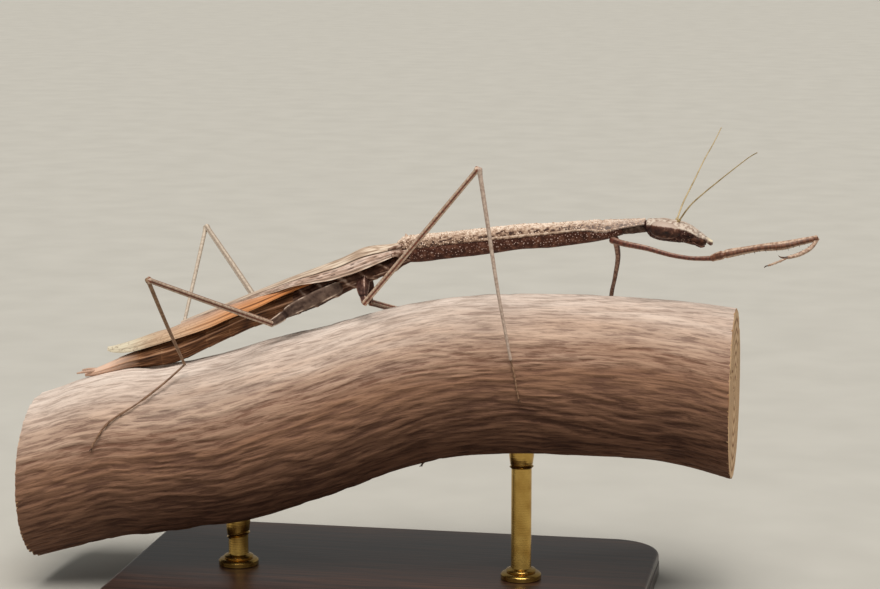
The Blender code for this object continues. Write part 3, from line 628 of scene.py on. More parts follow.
# Three rows of tubercles down each side of the belly, and one of small teeth along the rim.
tubercle_places, tubercle_outs, tubercle_sizes = [], [], []
chance = np.random.default_rng(7)
for row_turn, row_spacing, row_size in TUBERCLE_ROWS:
    for place_x in np.arange(4.5, BELLY_FRONT - 0.6, row_spacing):
        low, rim, high, half = (np.interp(place_x, rows[:, 0], rows[:, k]) for k in (1, 2, 3, 4))
        for side in (-1, 1):
            turn = row_turn + chance.uniform(-0.11, 0.11)
            spot_x = place_x + chance.uniform(-0.2, 0.2)
            tubercle_places.append((spot_x, side * (half - 0.06) * math.cos(turn),
                                    rim - (rim - low) * math.sin(turn)))
            tubercle_outs.append((0.0, side * math.cos(turn), -math.sin(turn)))
            tubercle_sizes.append([row_size * chance.uniform(0.7, 1.25)] * 3)
fit(stud_points("prosternum_tubercles", tubercle_places, tubercle_outs, tubercle_sizes, granule_stamp,
                tubercle_cuticle), "cuticle_body")

# --- Neck ----------------------------------------------------------------------------------------
# A short tube of soft wrinkled skin from the shield to the head. Like the feelers, palps and legs
# it follows a path from joint to joint, so the ways of making a limb stand here.
SLEEVE = 0.8            # how far a rounded end reaches, in radii


def follow(path, spacing):
    """Even rows on a smooth curve through the path's rows, and each row's distance along it."""
    fine = smooth(path, 12)
    reach = np.concatenate([[0.0], np.cumsum(np.linalg.norm(np.diff(fine[:, :3], axis=0), axis=1))])
    even = np.linspace(0.0, reach[-1], max(int(reach[-1] / spacing), 6))
    return np.stack([np.interp(even, reach, column) for column in fine.T], axis=1), even


def unit(vectors):
    """The vectors at length 1."""
    return vectors / np.linalg.norm(vectors, axis=-1, keepdims=True)


def limb(path, spacing=0.2, sides=16, upward=(0, 0, 1), shape=None, blunt=SLEEVE):
    """Rings along a limb, its distances and its turns. shape gives each point's share of the radius."""
    rows, reach = follow(path, spacing)
    points, radii = rows[:, :3], rows[:, 3]
    tangents = unit(np.gradient(points, axis=0))
    across = unit(np.array(upward, float) - tangents * (tangents @ np.array(upward, float))[:, None])
    beside = np.cross(tangents, across)
    turns = np.linspace(0.0, math.tau, sides, endpoint=False)[None, :]
    from_end = np.minimum(reach, reach[-1] - reach) / (blunt * radii)
    radii = radii * np.sqrt(np.clip(1 - np.clip(1 - from_end, 0, 0.97) ** 2, 0, 1))
    share = shape(reach[:, None] / reach[-1], turns) if shape else np.ones((len(rows), sides))
    lift = (radii[:, None] * share)[..., None]
    rings = points[:, None] + lift * (across[:, None] * np.cos(turns)[..., None]
                                      + beside[:, None] * np.sin(turns)[..., None])
    return rings, reach[:, None], turns


def waver_round(u, turns, seed, cells):
    """waver along a limb and round its section, with so many random values in each turn."""
    return waver(u, turns / math.tau * cells, seed, cells)


neck_path = [(36.6, 0, 59.9, 0.70), (38.2, 0, 60.05, 0.80), (40.0, 0, 60.35, 0.84), (41.8, 0, 60.4, 0.76)]
neck_rings = limb(neck_path, 0.08, 48,
                  shape=lambda t, turn: 1 + 0.07 * waver_round(t * 9, turn, 36, 12))[0]
# Neck skin: soft, finely wrinkled, greyish brown, painted dark as the shade it lies in between the
# shield and the head.
shaded_neck_skin = speckled("soft_neck_skin_painted_shade", 0.65, 1500.0, ((0.3, "3a281e"), (0.7, "857062"), (0.5, "574237")),
                     0.00008)
fit(skin("neck_membrane", [neck_rings], shaded_neck_skin), "cuticle_body", "neck")

# --- Head ----------------------------------------------------------------------------------------
# A long low capsule with an eye on each side. Brow ridges run forward over the eyes to the
# antennae, the cheeks are creased where the jaws hinge, and a pale lip closes the front.
# place along X, low, high, half width
HEAD = [(40.4, 60.3, 61.2, 0.80), (40.95, 60.0, 61.4, 1.05), (41.3, 59.5, 61.7, 1.45),
        (41.9, 58.9, 61.75, 1.75), (43.2, 58.5, 61.75, 2.20), (45.0, 58.3, 61.65, 2.35),
        (46.5, 58.2, 61.4, 2.10), (47.6, 58.35, 61.0, 1.75), (48.3, 58.6, 60.6, 1.50),
        (49.3, 58.6, 59.9, 1.15), (50.3, 58.2, 59.15, 0.88), (50.85, 57.85, 58.8, 0.68),
        (51.2, 57.95, 58.55, 0.45)]
EYE_CENTRE, EYE_SIZE, EYE_DIP = (44.1, 1.95, 60.25), (2.45, 1.20, 1.30), math.radians(9.0)
# The edge of the pale crown on the head's side: place along X, and height
CROWN_EDGE = ((40.5, 60.7), (43.5, 61.05), (44.9, 60.75), (46.5, 60.45), (47.85, 59.95), (48.9, 59.3),
              (49.9, 58.85))
# Behind this the head's colour is darkened as painted shade, in the notch under the shield's front.
NAPE_SHADE_EDGE = 41.2            # the head is dark behind this, where it enters the neck
OCELLI = ((46.15, 0.0), (45.75, 0.42), (45.75, -0.42))      # place along X and across
OCELLUS_RADIUS = 0.16
HEAD_SPACING, HEAD_SMALLEST, HEAD_LARGEST = 0.24, 0.03, 0.065               # of the head's grains


def groove(distance, width):
    """1 on a line and 0 away from it, given the distance from the line."""
    return np.exp(-(distance / width) ** 2)


def eye_frame(x, y, z, side):
    """Where a point lies from an eye's centre, in the eye's own half sizes."""
    dx, dy, dz = x - EYE_CENTRE[0], side * y - EYE_CENTRE[1], z - EYE_CENTRE[2]
    along = (dx * math.cos(EYE_DIP) - dz * math.sin(EYE_DIP)) / EYE_SIZE[0]
    up = (dx * math.sin(EYE_DIP) + dz * math.cos(EYE_DIP)) / EYE_SIZE[2]
    return along, dy / EYE_SIZE[1], up


# Head cuticle: pinkish buff on the crown and brows, chestnut below the eyes, and dirty yellow on
# the lip; finely shagreened and dry. Behind the nape it is painted darker as shade.
head_cuticle, tree, shader = new_finish("shagreened_head_cuticle", 0.66, Specular_IOR_Level=0.2)
place = add_node(tree, "ShaderNodeTexCoord")
crown = add_node(tree, "ShaderNodeAttribute", attribute_name="crown")
lip = add_node(tree, "ShaderNodeAttribute", attribute_name="lip")
crease = add_node(tree, "ShaderNodeAttribute", attribute_name="crease")
fleck = add_node(tree, "ShaderNodeTexNoise",
                 {"Vector": place.outputs["Object"], "Scale": 2200.0, "Detail": 4.0})
shift = add_node(tree, "ShaderNodeMath", {0: fleck.outputs["Fac"], 1: 1.3, 2: crown.outputs["Fac"]},
                 operation="MULTIPLY_ADD")
tint = add_node(tree, "ShaderNodeValToRGB", {"Fac": shift.outputs[0]},
                stops=((0.2, "2a1410"), (1.05, "d2c4b6"), (0.42, "452820"), (0.62, "74594e"),
                       (0.85, "ab988a")))
lipped = add_node(tree, "ShaderNodeMix",
                  {0: lip.outputs["Fac"], 6: tint.outputs["Color"], 7: linear("e4d8bc")}, data_type="RGBA")
creased = add_node(tree, "ShaderNodeMix",
                   {0: crease.outputs["Fac"], 6: lipped.outputs[2], 7: linear("24130c")}, data_type="RGBA")
relief = add_node(tree, "ShaderNodeBump", {"Height": fleck.outputs["Fac"], "Distance": 0.00004})
lay_on(tree, shader, creased.outputs[2], relief)

rows = smooth(HEAD, 14)
x, low, high, half = (column[:, None] for column in rows.T)
turns = np.linspace(0.0, math.tau, 128, endpoint=False)[None, :]
middle, tall = (low + high) / 2, (high - low) / 2
flat = 0.86                                            # below 1 squares the section a little
across = half * np.sign(np.cos(turns)) * np.abs(np.cos(turns)) ** flat
upward = tall * np.sign(np.sin(turns)) * np.abs(np.sin(turns)) ** flat
px, py, pz = x + 0 * turns, across, middle + upward
near_eye = np.minimum(*(np.sqrt(sum(part ** 2 for part in eye_frame(px, py, pz, side)))
                        for side in (-1, 1)))
orbit = groove(near_eye - 1.12, 0.10)
above_edge = pz - np.interp(px, *zip(*CROWN_EDGE))
brow = groove(above_edge - 0.1, 0.14) * np.clip((px - 41.3) / 1, 0, 1) * np.clip((49.5 - px) / 2, 0, 1)
crown_line = groove(py, 0.10) * (pz > middle) * (px < 45.4)
clypeus = groove(px - 49.35 + 0.25 * np.abs(py), 0.09) * (pz > middle - 0.2)
labrum = groove(px - 50.25 + 0.2 * np.abs(py), 0.07)
jaw = groove(pz - (59.35 - 0.28 * (px - 47.2)), 0.09) * (px > 46.6) * (px < 50.4)
cheek = groove(px - 47.35 - 0.5 * (60.0 - pz), 0.09) * (pz < 60.3) * (pz > 58.7)
grain = waver_round(px / 0.28, turns, 41, 46)
swell = (0.06 * orbit + 0.13 * brow - 0.07 * crown_line - 0.09 * clypeus - 0.07 * labrum - 0.10 * jaw
         - 0.07 * cheek + 0.030 * grain)
radial = np.stack([0 * px, across, upward], axis=-1)
radial /= np.linalg.norm(radial, axis=-1, keepdims=True) + 1e-9
head_rings = np.stack([px, py, pz], axis=-1) + radial * swell[..., None]
crown_mark = -0.29 + 0.55 * np.clip(above_edge / 0.3 + 0.5, 0, 1) + 0.12 * brow
# painted shade in the notch between the shield's front and the crown
crown_mark = crown_mark - 0.5 * np.clip((NAPE_SHADE_EDGE - px) / 0.15, 0, 1)
crown_mark = crown_mark + 0.30 * np.clip((px - 49.9) / 0.5, 0, 1) * (above_edge < 0)
lip_mark = np.clip((px - 50.2) / 0.6, 0, 0.9) * np.clip(2.6 * (pz - middle) / tall - 0.5, 0, 1)
crease_mark = np.clip(0.7 * jaw + 0.6 * clypeus + 0.5 * labrum + 0.5 * cheek + 0.25 * crown_line, 0, 0.85)
rough = (0.4 + 0.6 * (above_edge > 0)) * (near_eye > 1.15) * (px < 49.0) * (px > 41.3)
capsule = skin("head_capsule", [head_rings], head_cuticle,
               [{"crown": crown_mark, "lip": lip_mark, "crease": crease_mark, "rough": rough}])
head_grains = strew_on("head_granules", capsule, granule_stamp, HEAD_SPACING, HEAD_SMALLEST, HEAD_LARGEST,
                       8, granule_cuticle)
fit(capsule, "cuticle_shield", "head")
fit(head_grains, "cuticle_shield")

# Compound eyes: satin domes of tiny lenses, drawn coarse at 0.08 mm. The upper part is pale and
# banded like the crown, partly as painted light. The lower part is a deep red brown, partly painted
# shade, with a black false pupil and a pinkish rim.
eye_lens, tree, shader = new_finish("compound_eye_lens", 0.45, Specular_IOR_Level=0.3, Coat_Weight=0.04,
                                    Coat_Roughness=0.2)
place = add_node(tree, "ShaderNodeTexCoord")
height = add_node(tree, "ShaderNodeAttribute", attribute_name="height")
pupil = add_node(tree, "ShaderNodeAttribute", attribute_name="pupil")
cells = add_node(tree, "ShaderNodeTexVoronoi", {"Vector": place.outputs["Object"], "Scale": 12500.0})
smear = add_node(tree, "ShaderNodeTexNoise",
                 {"Vector": place.outputs["Object"], "Scale": 1500.0, "Detail": 3.0})
shift = add_node(tree, "ShaderNodeMath", {0: smear.outputs["Fac"], 1: 0.9, 2: height.outputs["Fac"]},
                 operation="MULTIPLY_ADD")
tint = add_node(tree, "ShaderNodeValToRGB", {"Fac": shift.outputs[0]},
                stops=((0.45, "280f09"), (1.0, "b8a496"), (0.68, "48281a"), (0.85, "785646")))
dark = add_node(tree, "ShaderNodeMix",
                {0: pupil.outputs["Fac"], 6: tint.outputs["Color"], 7: linear("0b0504")}, data_type="RGBA")
relief = add_node(tree, "ShaderNodeBump", {"Height": cells.outputs["Distance"], "Distance": 0.000012},
                  invert=True)
lay_on(tree, shader, dark.outputs[2], relief)
swing = np.linspace(0.02, math.pi - 0.02, 64)[:, None]
for side, side_name in ((-1, "right"), (1, "left")):
    along = -np.cos(swing) + 0 * turns
    out, up = np.sin(swing) * np.cos(turns), np.sin(swing) * np.sin(turns)
    taper = 1 - 0.10 * along                           # the eye narrows a little towards the front
    dx, dy, dz = along * EYE_SIZE[0], out * EYE_SIZE[1] * taper, up * EYE_SIZE[2] * taper
    eye_rings = np.stack([EYE_CENTRE[0] + dx * math.cos(EYE_DIP) + dz * math.sin(EYE_DIP),
                          side * (EYE_CENTRE[1] + dy),
                          EYE_CENTRE[2] - dx * math.sin(EYE_DIP) + dz * math.cos(EYE_DIP)], axis=-1)
    spot = np.exp(-((along - 0.12) / 0.10) ** 2 - ((up + 0.12) / 0.16) ** 2) * (out > 0)
    # Paler upward: a pale band on top, partly painted light, over a darker lower part, partly painted shade
    band_and_light_mark = 0.16 + 0.16 * up + 0.4 * np.clip((up - 0.40 - 0.22 * np.minimum(along, 0)) / 0.2, 0, 1)
    band_and_light_mark = band_and_light_mark + 0.35 * np.clip((-up - 0.55) / 0.3, 0, 1)
    fit(skin(f"eye_{side_name}_lens", [eye_rings], eye_lens,
             [{"height": band_and_light_mark, "pupil": np.clip(spot * 1.2, 0, 0.9)}]), "eye", f"eye_{side_name}")

# Three ocelli: clear amber beads between the feelers, each in a low ring.
ocellus_amber, tree, shader = new_finish("amber_ocellus", 0.12, Coat_Weight=0.6, Coat_Roughness=0.05)
shader.inputs["Base Color"].default_value = linear("6b4524")
bead_stamp = stamp("bead_stamp", [(-0.3, 0.9), (0.1, 1.0), (0.5, 0.85), (0.8, 0.52), (0.93, 0.2)], 14)
crown_height = [np.interp(place_x, rows[:, 0], rows[:, 2]) for place_x, place_y in OCELLI]
fit(stud_points("ocelli", [(place_x, place_y, top - 0.06 - 0.2 * abs(place_y))
                           for (place_x, place_y), top in zip(OCELLI, crown_height)],
                [(0.1, place_y, 1.0) for place_x, place_y in OCELLI], [(OCELLUS_RADIUS,) * 3] * 3,
                bead_stamp, ocellus_amber), "cuticle_shield")

# --- Mouthparts ----------------------------------------------------------------------------------
# The chin plate, the pointed jaws and two pairs of jointed palps hang below the front of the head.
# All are dark chestnut cuticle. A palp's rows are points and the radius there.
PALPS = {
    "maxillary": [(48.1, 1.05, 58.45, 0.17), (48.9, 1.25, 58.0, 0.17), (49.6, 1.2, 57.75, 0.16),
                  (50.1, 1.0, 57.9, 0.13)],
    "labial": [(48.6, 0.35, 57.95, 0.15), (49.3, 0.55, 57.7, 0.15), (49.9, 0.5, 57.75, 0.12)],
}


def jointed(t, turn, joints=4):
    """The swelling of a feeler's joints, each a little wider at its far end."""
    phase = (t * joints) % 1.0
    return 0.78 + 0.30 * phase - 0.3 * np.exp(-((1 - phase) / 0.05) ** 2) + 0 * turn


chin_rows = smooth([(46.8, 58.2, 58.8, 0.9), (48.2, 57.85, 58.8, 0.98), (49.2, 57.72, 58.75, 0.85),
                    (49.9, 57.85, 58.65, 0.6), (50.2, 58.0, 58.55, 0.35)], 8)
x, low, high, half = (column[:, None] for column in chin_rows.T)
chin_turns = np.linspace(0.0, math.tau, 32, endpoint=False)[None, :]
chin_split = 1 - 0.12 * np.exp(-((chin_turns - 1.5 * math.pi) / 0.12) ** 2)
chin = np.stack([x + 0 * chin_turns, half * np.cos(chin_turns),
                 (low + high) / 2 + (high - low) / 2 * np.sin(chin_turns) * chin_split], axis=-1)
mouth = [chin]
for side in (-1, 1):                                   # the pointed jaws behind the lip
    mouth.append(limb([(47.8, side * 0.95, 58.95, 0.42), (49.2, side * 0.80, 58.75, 0.40),
                       (50.0, side * 0.45, 58.6, 0.28), (50.5, side * 0.12, 58.45, 0.12)], 0.05, 16)[0])
for palp in PALPS.values():
    for side in (-1, 1):
        mirrored = [(x, side * y, z, r) for x, y, z, r in palp]
        mouth.append(limb(mirrored, 0.05, 14, shape=jointed)[0])
fit(skin("mouthparts_and_palps", mouth, dark_cuticle), "cuticle_body", "mouthparts")

# --- Antennae ------------------------------------------------------------------------------------
# Thread-like feelers: a stout first joint in a ring socket, then scores of short barrels that
# dwindle towards the tip.
ANTENNAE = {
    "right": [(45.9, -0.7, 61.1), (46.2, -1.0, 61.75), (47.9, -2.5, 64.2), (50.0, -4.0, 66.3),
              (52.0, -5.5, 68.1), (53.9, -7.0, 69.8), (56.8, -9.5, 72.3), (58.2, -11.0, 73.3)],
    "left": [(45.5, 0.7, 61.1), (45.7, 1.2, 61.8), (46.4, 3.0, 64.0), (47.7, 6.0, 66.9),
             (49.0, 9.0, 69.9), (50.2, 11.0, 72.2), (51.3, 12.9, 74.6)],
}
BARREL = 0.42           # length of a barrel
THREAD_BASE, THREAD_TAPER = 0.145, 0.07     # a thread's radius at its base, and how much it loses
SOCKET_RADII = (0.34, 0.26)                 # the stout first joint
# Feeler cuticle: straw brown barrels, darker at each joint.
feeler_cuticle = speckled("straw_feeler_cuticle", 0.5, 800.0, ((0.35, "9c8760"), (0.65, "cdb991")))
barrel_stamp = stamp("barrel_stamp", [(0.0, 0.62), (0.12, 0.86), (0.75, 1.0), (0.95, 0.9), (1.0, 0.6)], 8)
for side_name, route in ANTENNAE.items():
    threads, reach = follow([(*point, 1.0) for point in route], BARREL * 0.9)
    outs = unit(np.gradient(threads[:, :3], axis=0))
    share = reach / reach[-1]
    radii = THREAD_BASE - THREAD_TAPER * share
    radii[:2] = SOCKET_RADII
    sizes = np.stack([radii, radii, np.full_like(radii, BARREL)], axis=1)
    fit(stud_points(f"antenna_{side_name}_thread", threads[:-1, :3], outs[:-1], sizes[:-1], barrel_stamp,
                    feeler_cuticle), "cuticle_leg", f"antenna_{side_name}")

# --- Middle and hind thorax ----------------------------------------------------------------------
# Two short segments of dark cuticle carry the wings and the middle and hind legs. Slanting ridges,
# worn pale, brace their sides.
# place along X, low, high, half width
MESOTHORAX = [(5.2, 54.3, 56.0, 0.9), (3.3, 53.4, 55.7, 1.4), (1.5, 52.2, 54.9, 1.9),
              (-0.7, 51.3, 54.2, 2.15), (-4.6, 49.5, 53.0, 2.1)]
METATHORAX = [(-4.2, 49.8, 53.0, 2.0), (-8.0, 47.8, 51.9, 2.15), (-10.7, 46.4, 50.9, 2.1),
              (-14.2, 45.0, 49.4, 1.85)]


def ridged(name, stops):
    """Cuticle whose worn ridges, marked as "keel", are paler than the hollows between them."""
    finish, tree, shader = new_finish(name, 0.6, Specular_IOR_Level=0.2)
    place = add_node(tree, "ShaderNodeTexCoord")
    keel_mark = add_node(tree, "ShaderNodeAttribute", attribute_name="keel")
    fleck = add_node(tree, "ShaderNodeTexNoise",
                     {"Vector": place.outputs["Object"], "Scale": 1900.0, "Detail": 4.0})
    shift = add_node(tree, "ShaderNodeMath", {0: fleck.outputs["Fac"], 1: 0.7, 2: keel_mark.outputs["Fac"]},
                     operation="MULTIPLY_ADD")
    tint = add_node(tree, "ShaderNodeValToRGB", {"Fac": shift.outputs[0]}, stops=stops)
    relief = add_node(tree, "ShaderNodeBump", {"Height": fleck.outputs["Fac"], "Distance": 0.00005})
    lay_on(tree, shader, tint.outputs["Color"], relief)
    return finish


# Plate cuticle: dark umber hollows under pale worn ridges.
plate_cuticle = ridged("ridged_umber_cuticle",
                       ((0.25, "2a150c"), (1.1, "b39a8a"), (0.5, "46291b"), (0.8, "775848")))


def line_at(turns, centre, width):
    """1 on a line that runs along a body at one turn round it, and 0 away from it."""
    return groove(np.angle(np.exp(1j * (turns - centre))), width)


def trunk(stations, steps=16, sides=96):
    """Rings of an oval trunk piece, its places along X, its turns and the outward directions."""
    rows = smooth(stations, steps)
    x, low, high, half = (column[:, None] for column in rows.T)
    turns = np.linspace(0.0, math.tau, sides, endpoint=False)[None, :]
    outward = np.stack([0 * x + 0 * turns, np.cos(turns) + 0 * x, np.sin(turns) + 0 * x], axis=-1)
    rings = np.stack([x + 0 * turns, half * np.cos(turns),
                      (low + high) / 2 + (high - low) / 2 * np.sin(turns)], axis=-1)
    return rings, x, turns, outward


for plate_name, stations, node in (("mesothorax_plates", MESOTHORAX, "mesothorax"),
                                   ("metathorax_plates", METATHORAX, "metathorax")):
    rings, x, turns, outward = trunk(stations)
    slant = (x - stations[0][0]) / 3.1 + 0.55 * np.sin(turns) + 0.12 * waver(x / 2, turns, 52)
    brace = np.abs(np.sin(slant * math.pi)) ** 22
    rib = np.maximum(brace, line_at(turns, -0.5, 0.08) + line_at(turns, math.pi + 0.5, 0.08))
    folds = np.abs(waver_round(x / 2.4, turns, 53, 26))
    pores = waver_round(x / 0.4, turns, 51, 44)
    rings = rings + outward * (0.11 * rib + 0.10 * folds + 0.03 * pores - 0.08)[..., None]
    fit(skin(plate_name, [rings], plate_cuticle, [{"keel": 0.5 * rib + 0.45 * folds}]), "cuticle_body",
        node)

# --- Abdomen -------------------------------------------------------------------------------------
# Ten overlapping rings of thin striated cuticle, with a soft pale fold along each side where the
# back plates meet the belly plates, and two short jointed cerci at the end.
# place along X, low, high, half width
ABDOMEN = [(-13.3, 45.3, 49.7, 1.75), (-17.0, 44.1, 48.3, 1.95), (-20.7, 43.0, 46.8, 1.95),
           (-27.0, 40.1, 43.7, 1.95), (-33.3, 37.0, 41.1, 1.90), (-38.0, 35.95, 39.3, 1.75),
           (-41.9, 35.35, 37.8, 1.50), (-46.4, 34.25, 35.7, 1.10), (-49.0, 33.85, 34.6, 0.55)]
RING_LENGTH = 3.75
FOLD_TURN = 0.12        # the side fold's height round the section, in radians over the middle
# Abdominal cuticle: reddish chestnut, striated lengthwise every 0.2 mm, paler at each ring's edge.
abdomen_cuticle, tree, shader = new_finish("striated_chestnut_cuticle", 0.58, Specular_IOR_Level=0.22)
place = add_node(tree, "ShaderNodeTexCoord")
fold_mark = add_node(tree, "ShaderNodeAttribute", attribute_name="fold")
stria = add_node(tree, "ShaderNodeAttribute", attribute_name="stria")
tail = add_node(tree, "ShaderNodeAttribute", attribute_name="tail")
lie = add_node(tree, "ShaderNodeMapping", {"Vector": place.outputs["Object"], "Rotation": (0.0, -0.35, 0.0),
                                           "Scale": (0.004, 0.0003, 0.0003)}, vector_type="TEXTURE")
streak = add_node(tree, "ShaderNodeTexNoise",
                  {"Vector": lie.outputs["Vector"], "Scale": 1.0, "Detail": 1.0})
shift = add_node(tree, "ShaderNodeMath", {0: streak.outputs["Fac"], 1: 0.8, 2: stria.outputs["Fac"]},
                 operation="MULTIPLY_ADD")
tint = add_node(tree, "ShaderNodeValToRGB", {"Fac": shift.outputs[0]},
                stops=((0.25, "2e180d"), (0.95, "b3906f"), (0.5, "5a3820"), (0.7, "82593b")))
tailed = add_node(tree, "ShaderNodeMix",
                  {0: tail.outputs["Fac"], 6: tint.outputs["Color"], 7: linear("e6c4ae")}, data_type="RGBA")
folded = add_node(tree, "ShaderNodeMix", {0: fold_mark.outputs["Fac"], 6: tailed.outputs[2],
                                          7: linear("cda080")}, data_type="RGBA")
relief = add_node(tree, "ShaderNodeBump", {"Height": streak.outputs["Fac"], "Distance": 0.00005})
lay_on(tree, shader, folded.outputs[2], relief)

rings, x, turns, outward = trunk(ABDOMEN, 40, 112)
phase = ((x - ABDOMEN[0][0]) / -RING_LENGTH) % 1.0
lap = 0.07 * phase ** 1.5 - 0.05
striae = np.abs(waver_round(x / 4.0, turns, 61, 64))
fold = sum(line_at(turns, centre, 0.05) for centre in (FOLD_TURN, math.pi - FOLD_TURN))
gully = sum(line_at(turns, centre, 0.10) for centre in (FOLD_TURN - 0.22, math.pi - FOLD_TURN + 0.22))
belly_keel = line_at(turns, 1.5 * math.pi, 0.10)
slim = np.clip((x + 50.0) / 6.0, 0.35, 1.0)
rings = rings + outward * (slim * (lap + 0.05 * striae + 0.11 * fold - 0.10 * gully
                                   + 0.05 * belly_keel))[..., None]
edge = np.clip((phase - 0.9) / 0.1, 0, 1)
fit(skin("abdomen_rings", [rings], abdomen_cuticle,
         [{"fold": np.clip(fold * 0.8, 0, 0.7), "stria": 0.45 * striae + 0.06 * edge - 0.12 * gully,
           "tail": np.clip((-x - 39.5) / 6, 0, 0.9) + 0 * turns}]), "cuticle_abdomen", "abdomen")
for side, side_name in ((-1, "right"), (1, "left")):
    cercus = limb([(-47.2, side * 0.6, 35.0, 0.26), (-48.8, side * 1.1, 34.85, 0.24),
                   (-50.1, side * 1.42, 34.6, 0.13)], 0.05, 16,
                  shape=lambda t, turn: jointed(t, turn, 8))[0]
    fit(skin(f"cercus_{side_name}_joints", [cercus], abdomen_cuticle, [{"tail": 0.55, "stria": 0.15}]),
        "cuticle_leg", f"cercus_{side_name}")

# --- Hindwings -----------------------------------------------------------------------------------
# Thin fans folded flat along the back. Only the leathery front strip of each shows below the
# forewing: orange between brown veins, fading to a pale freckled tip.
# place along X, height at the middle of the back, height of the outer edge, half width
HINDWING = [(-6.5, 53.4, 51.9, 2.2), (-9.5, 52.2, 51.0, 2.4), (-13.5, 50.7, 49.4, 2.5),
            (-16.8, 49.65, 47.9, 2.7), (-20.0, 48.6, 46.3, 2.9), (-24.2, 46.85, 44.6, 2.9),
            (-27.4, 45.45, 43.1, 2.85), (-31.4, 43.75, 41.6, 2.6), (-34.6, 42.3, 40.5, 2.3),
            (-37.2, 41.5, 39.6, 1.95), (-41.0, 40.1, 38.4, 1.4), (-43.9, 39.2, 38.1, 0.8),
            (-45.2, 38.9, 38.3, 0.35)]
WING_WALL, SEAM = 0.16, 0.03        # a wing's thickness, and half the gap between a pair


def wing(stations, side, steps, spans, relief):
    """Rings of a folded wing, a thin arch from the middle line to its outer edge, and its shares.

    relief gives the height of the veins from the share of the width, the share of the length and
    the distance along.
    """
    rows = smooth(stations, steps)
    x, top, edge, half = (column[:, None] for column in rows.T)
    share = np.linspace(0.0, 1.0, spans)[None, :]
    angle = share * math.pi / 2
    down = (x[0] - x) / (x[0] - x[-1])
    rise = relief(share, down, x[0] - x)
    wall = np.minimum(WING_WALL, 0.4 * half)
    skins = []
    for sink in (0.0, wall):
        reach = half - sink + rise
        height = top - edge - sink + rise
        skins.append(np.stack([x + 0 * share, side * np.maximum(reach * np.sin(angle), SEAM),
                               edge + height * np.cos(angle) + 0 * x], axis=-1))
    rings = np.concatenate([skins[0], skins[1][:, ::-1]], axis=1)

    def both(grid):
        """A mark on the outer skin, repeated on the inner one."""
        grid = np.broadcast_to(grid, (len(rows), spans))
        return np.concatenate([grid, grid[:, ::-1]], axis=1)
    return rings, share, down, x[0] - x, both


HIND_VEINS = (0.14, 0.32, 0.50, 0.65, 0.93)     # shares of the wing's width
MAIN_VEIN = 0.775        # the dark vein between the two orange stripes


def hind_relief(share, down, distance):
    """Height of the hindwing's veins, and of the groove that its main vein lies in."""
    ribs = sum(groove(share - vein - 0.015 * np.sin(distance / 5), 0.026) for vein in HIND_VEINS)
    return (0.04 * np.clip(ribs, 0, 1) - 0.07 * groove(share - MAIN_VEIN, 0.03)
            + 0.02 * waver(distance / 2, share * 14, 71)) * np.clip((1 - down) * 8, 0.15, 1)


# Hindwing strip: dry translucent leather, burnt orange with umber veins; the tip is cream with
# brown freckles 0.4 mm across.
orange_wing, tree, shader = new_finish("orange_wing_leather", 0.45, Specular_IOR_Level=0.4)
place = add_node(tree, "ShaderNodeTexCoord")
rib_mark = add_node(tree, "ShaderNodeAttribute", attribute_name="rib")
down_mark = add_node(tree, "ShaderNodeAttribute", attribute_name="down")
top_mark = add_node(tree, "ShaderNodeAttribute", attribute_name="top")
lie = add_node(tree, "ShaderNodeMapping", {"Vector": place.outputs["Object"], "Rotation": (0.0, -0.38, 0.0),
                                           "Scale": (0.0045, 0.00045, 0.00045)}, vector_type="TEXTURE")
streak = add_node(tree, "ShaderNodeTexNoise",
                  {"Vector": lie.outputs["Vector"], "Scale": 1.0, "Detail": 1.0})
shift = add_node(tree, "ShaderNodeMath", {0: streak.outputs["Fac"], 1: 0.16, 2: down_mark.outputs["Fac"]},
                 operation="MULTIPLY_ADD")
tint = add_node(tree, "ShaderNodeValToRGB", {"Fac": shift.outputs[0]},
                stops=((0.08, "c4662c"), (1.05, "dad0b8"), (0.25, "e08e4c"), (0.55, "de9f6c"),
                       (0.74, "d8b391"), (0.88, "c9b094")))
topped = add_node(tree, "ShaderNodeMix", {0: top_mark.outputs["Fac"], 6: tint.outputs["Color"],
                                          7: linear("b89c8c")}, data_type="RGBA")
thin = add_node(tree, "ShaderNodeMapRange",
                {"Value": streak.outputs["Fac"], "From Min": 0.36, "From Max": 0.50, "To Min": 0.25,
                 "To Max": 0.0})
freckle = add_node(tree, "ShaderNodeTexNoise", {"Vector": place.outputs["Object"], "Scale": 2400.0})
speck = add_node(tree, "ShaderNodeMapRange",
                 {"Value": freckle.outputs["Fac"], "From Min": 0.58, "From Max": 0.66, "To Min": 0.0,
                  "To Max": 0.5})
late = add_node(tree, "ShaderNodeMath", {0: speck.outputs["Result"], 1: down_mark.outputs["Fac"]},
                operation="MULTIPLY")
vein_amount = add_node(tree, "ShaderNodeMath", {0: rib_mark.outputs["Fac"], 1: thin.outputs["Result"]},
                       operation="MAXIMUM")
marked = add_node(tree, "ShaderNodeMath", {0: vein_amount.outputs[0], 1: late.outputs[0]},
                  operation="MAXIMUM")
veined = add_node(tree, "ShaderNodeMix", {0: marked.outputs[0], 6: topped.outputs[2], 7: linear("5e2f16")},
                  data_type="RGBA")
relief = add_node(tree, "ShaderNodeBump", {"Height": streak.outputs["Fac"], "Distance": 0.00004})
lay_on(tree, shader, veined.outputs[2], relief)
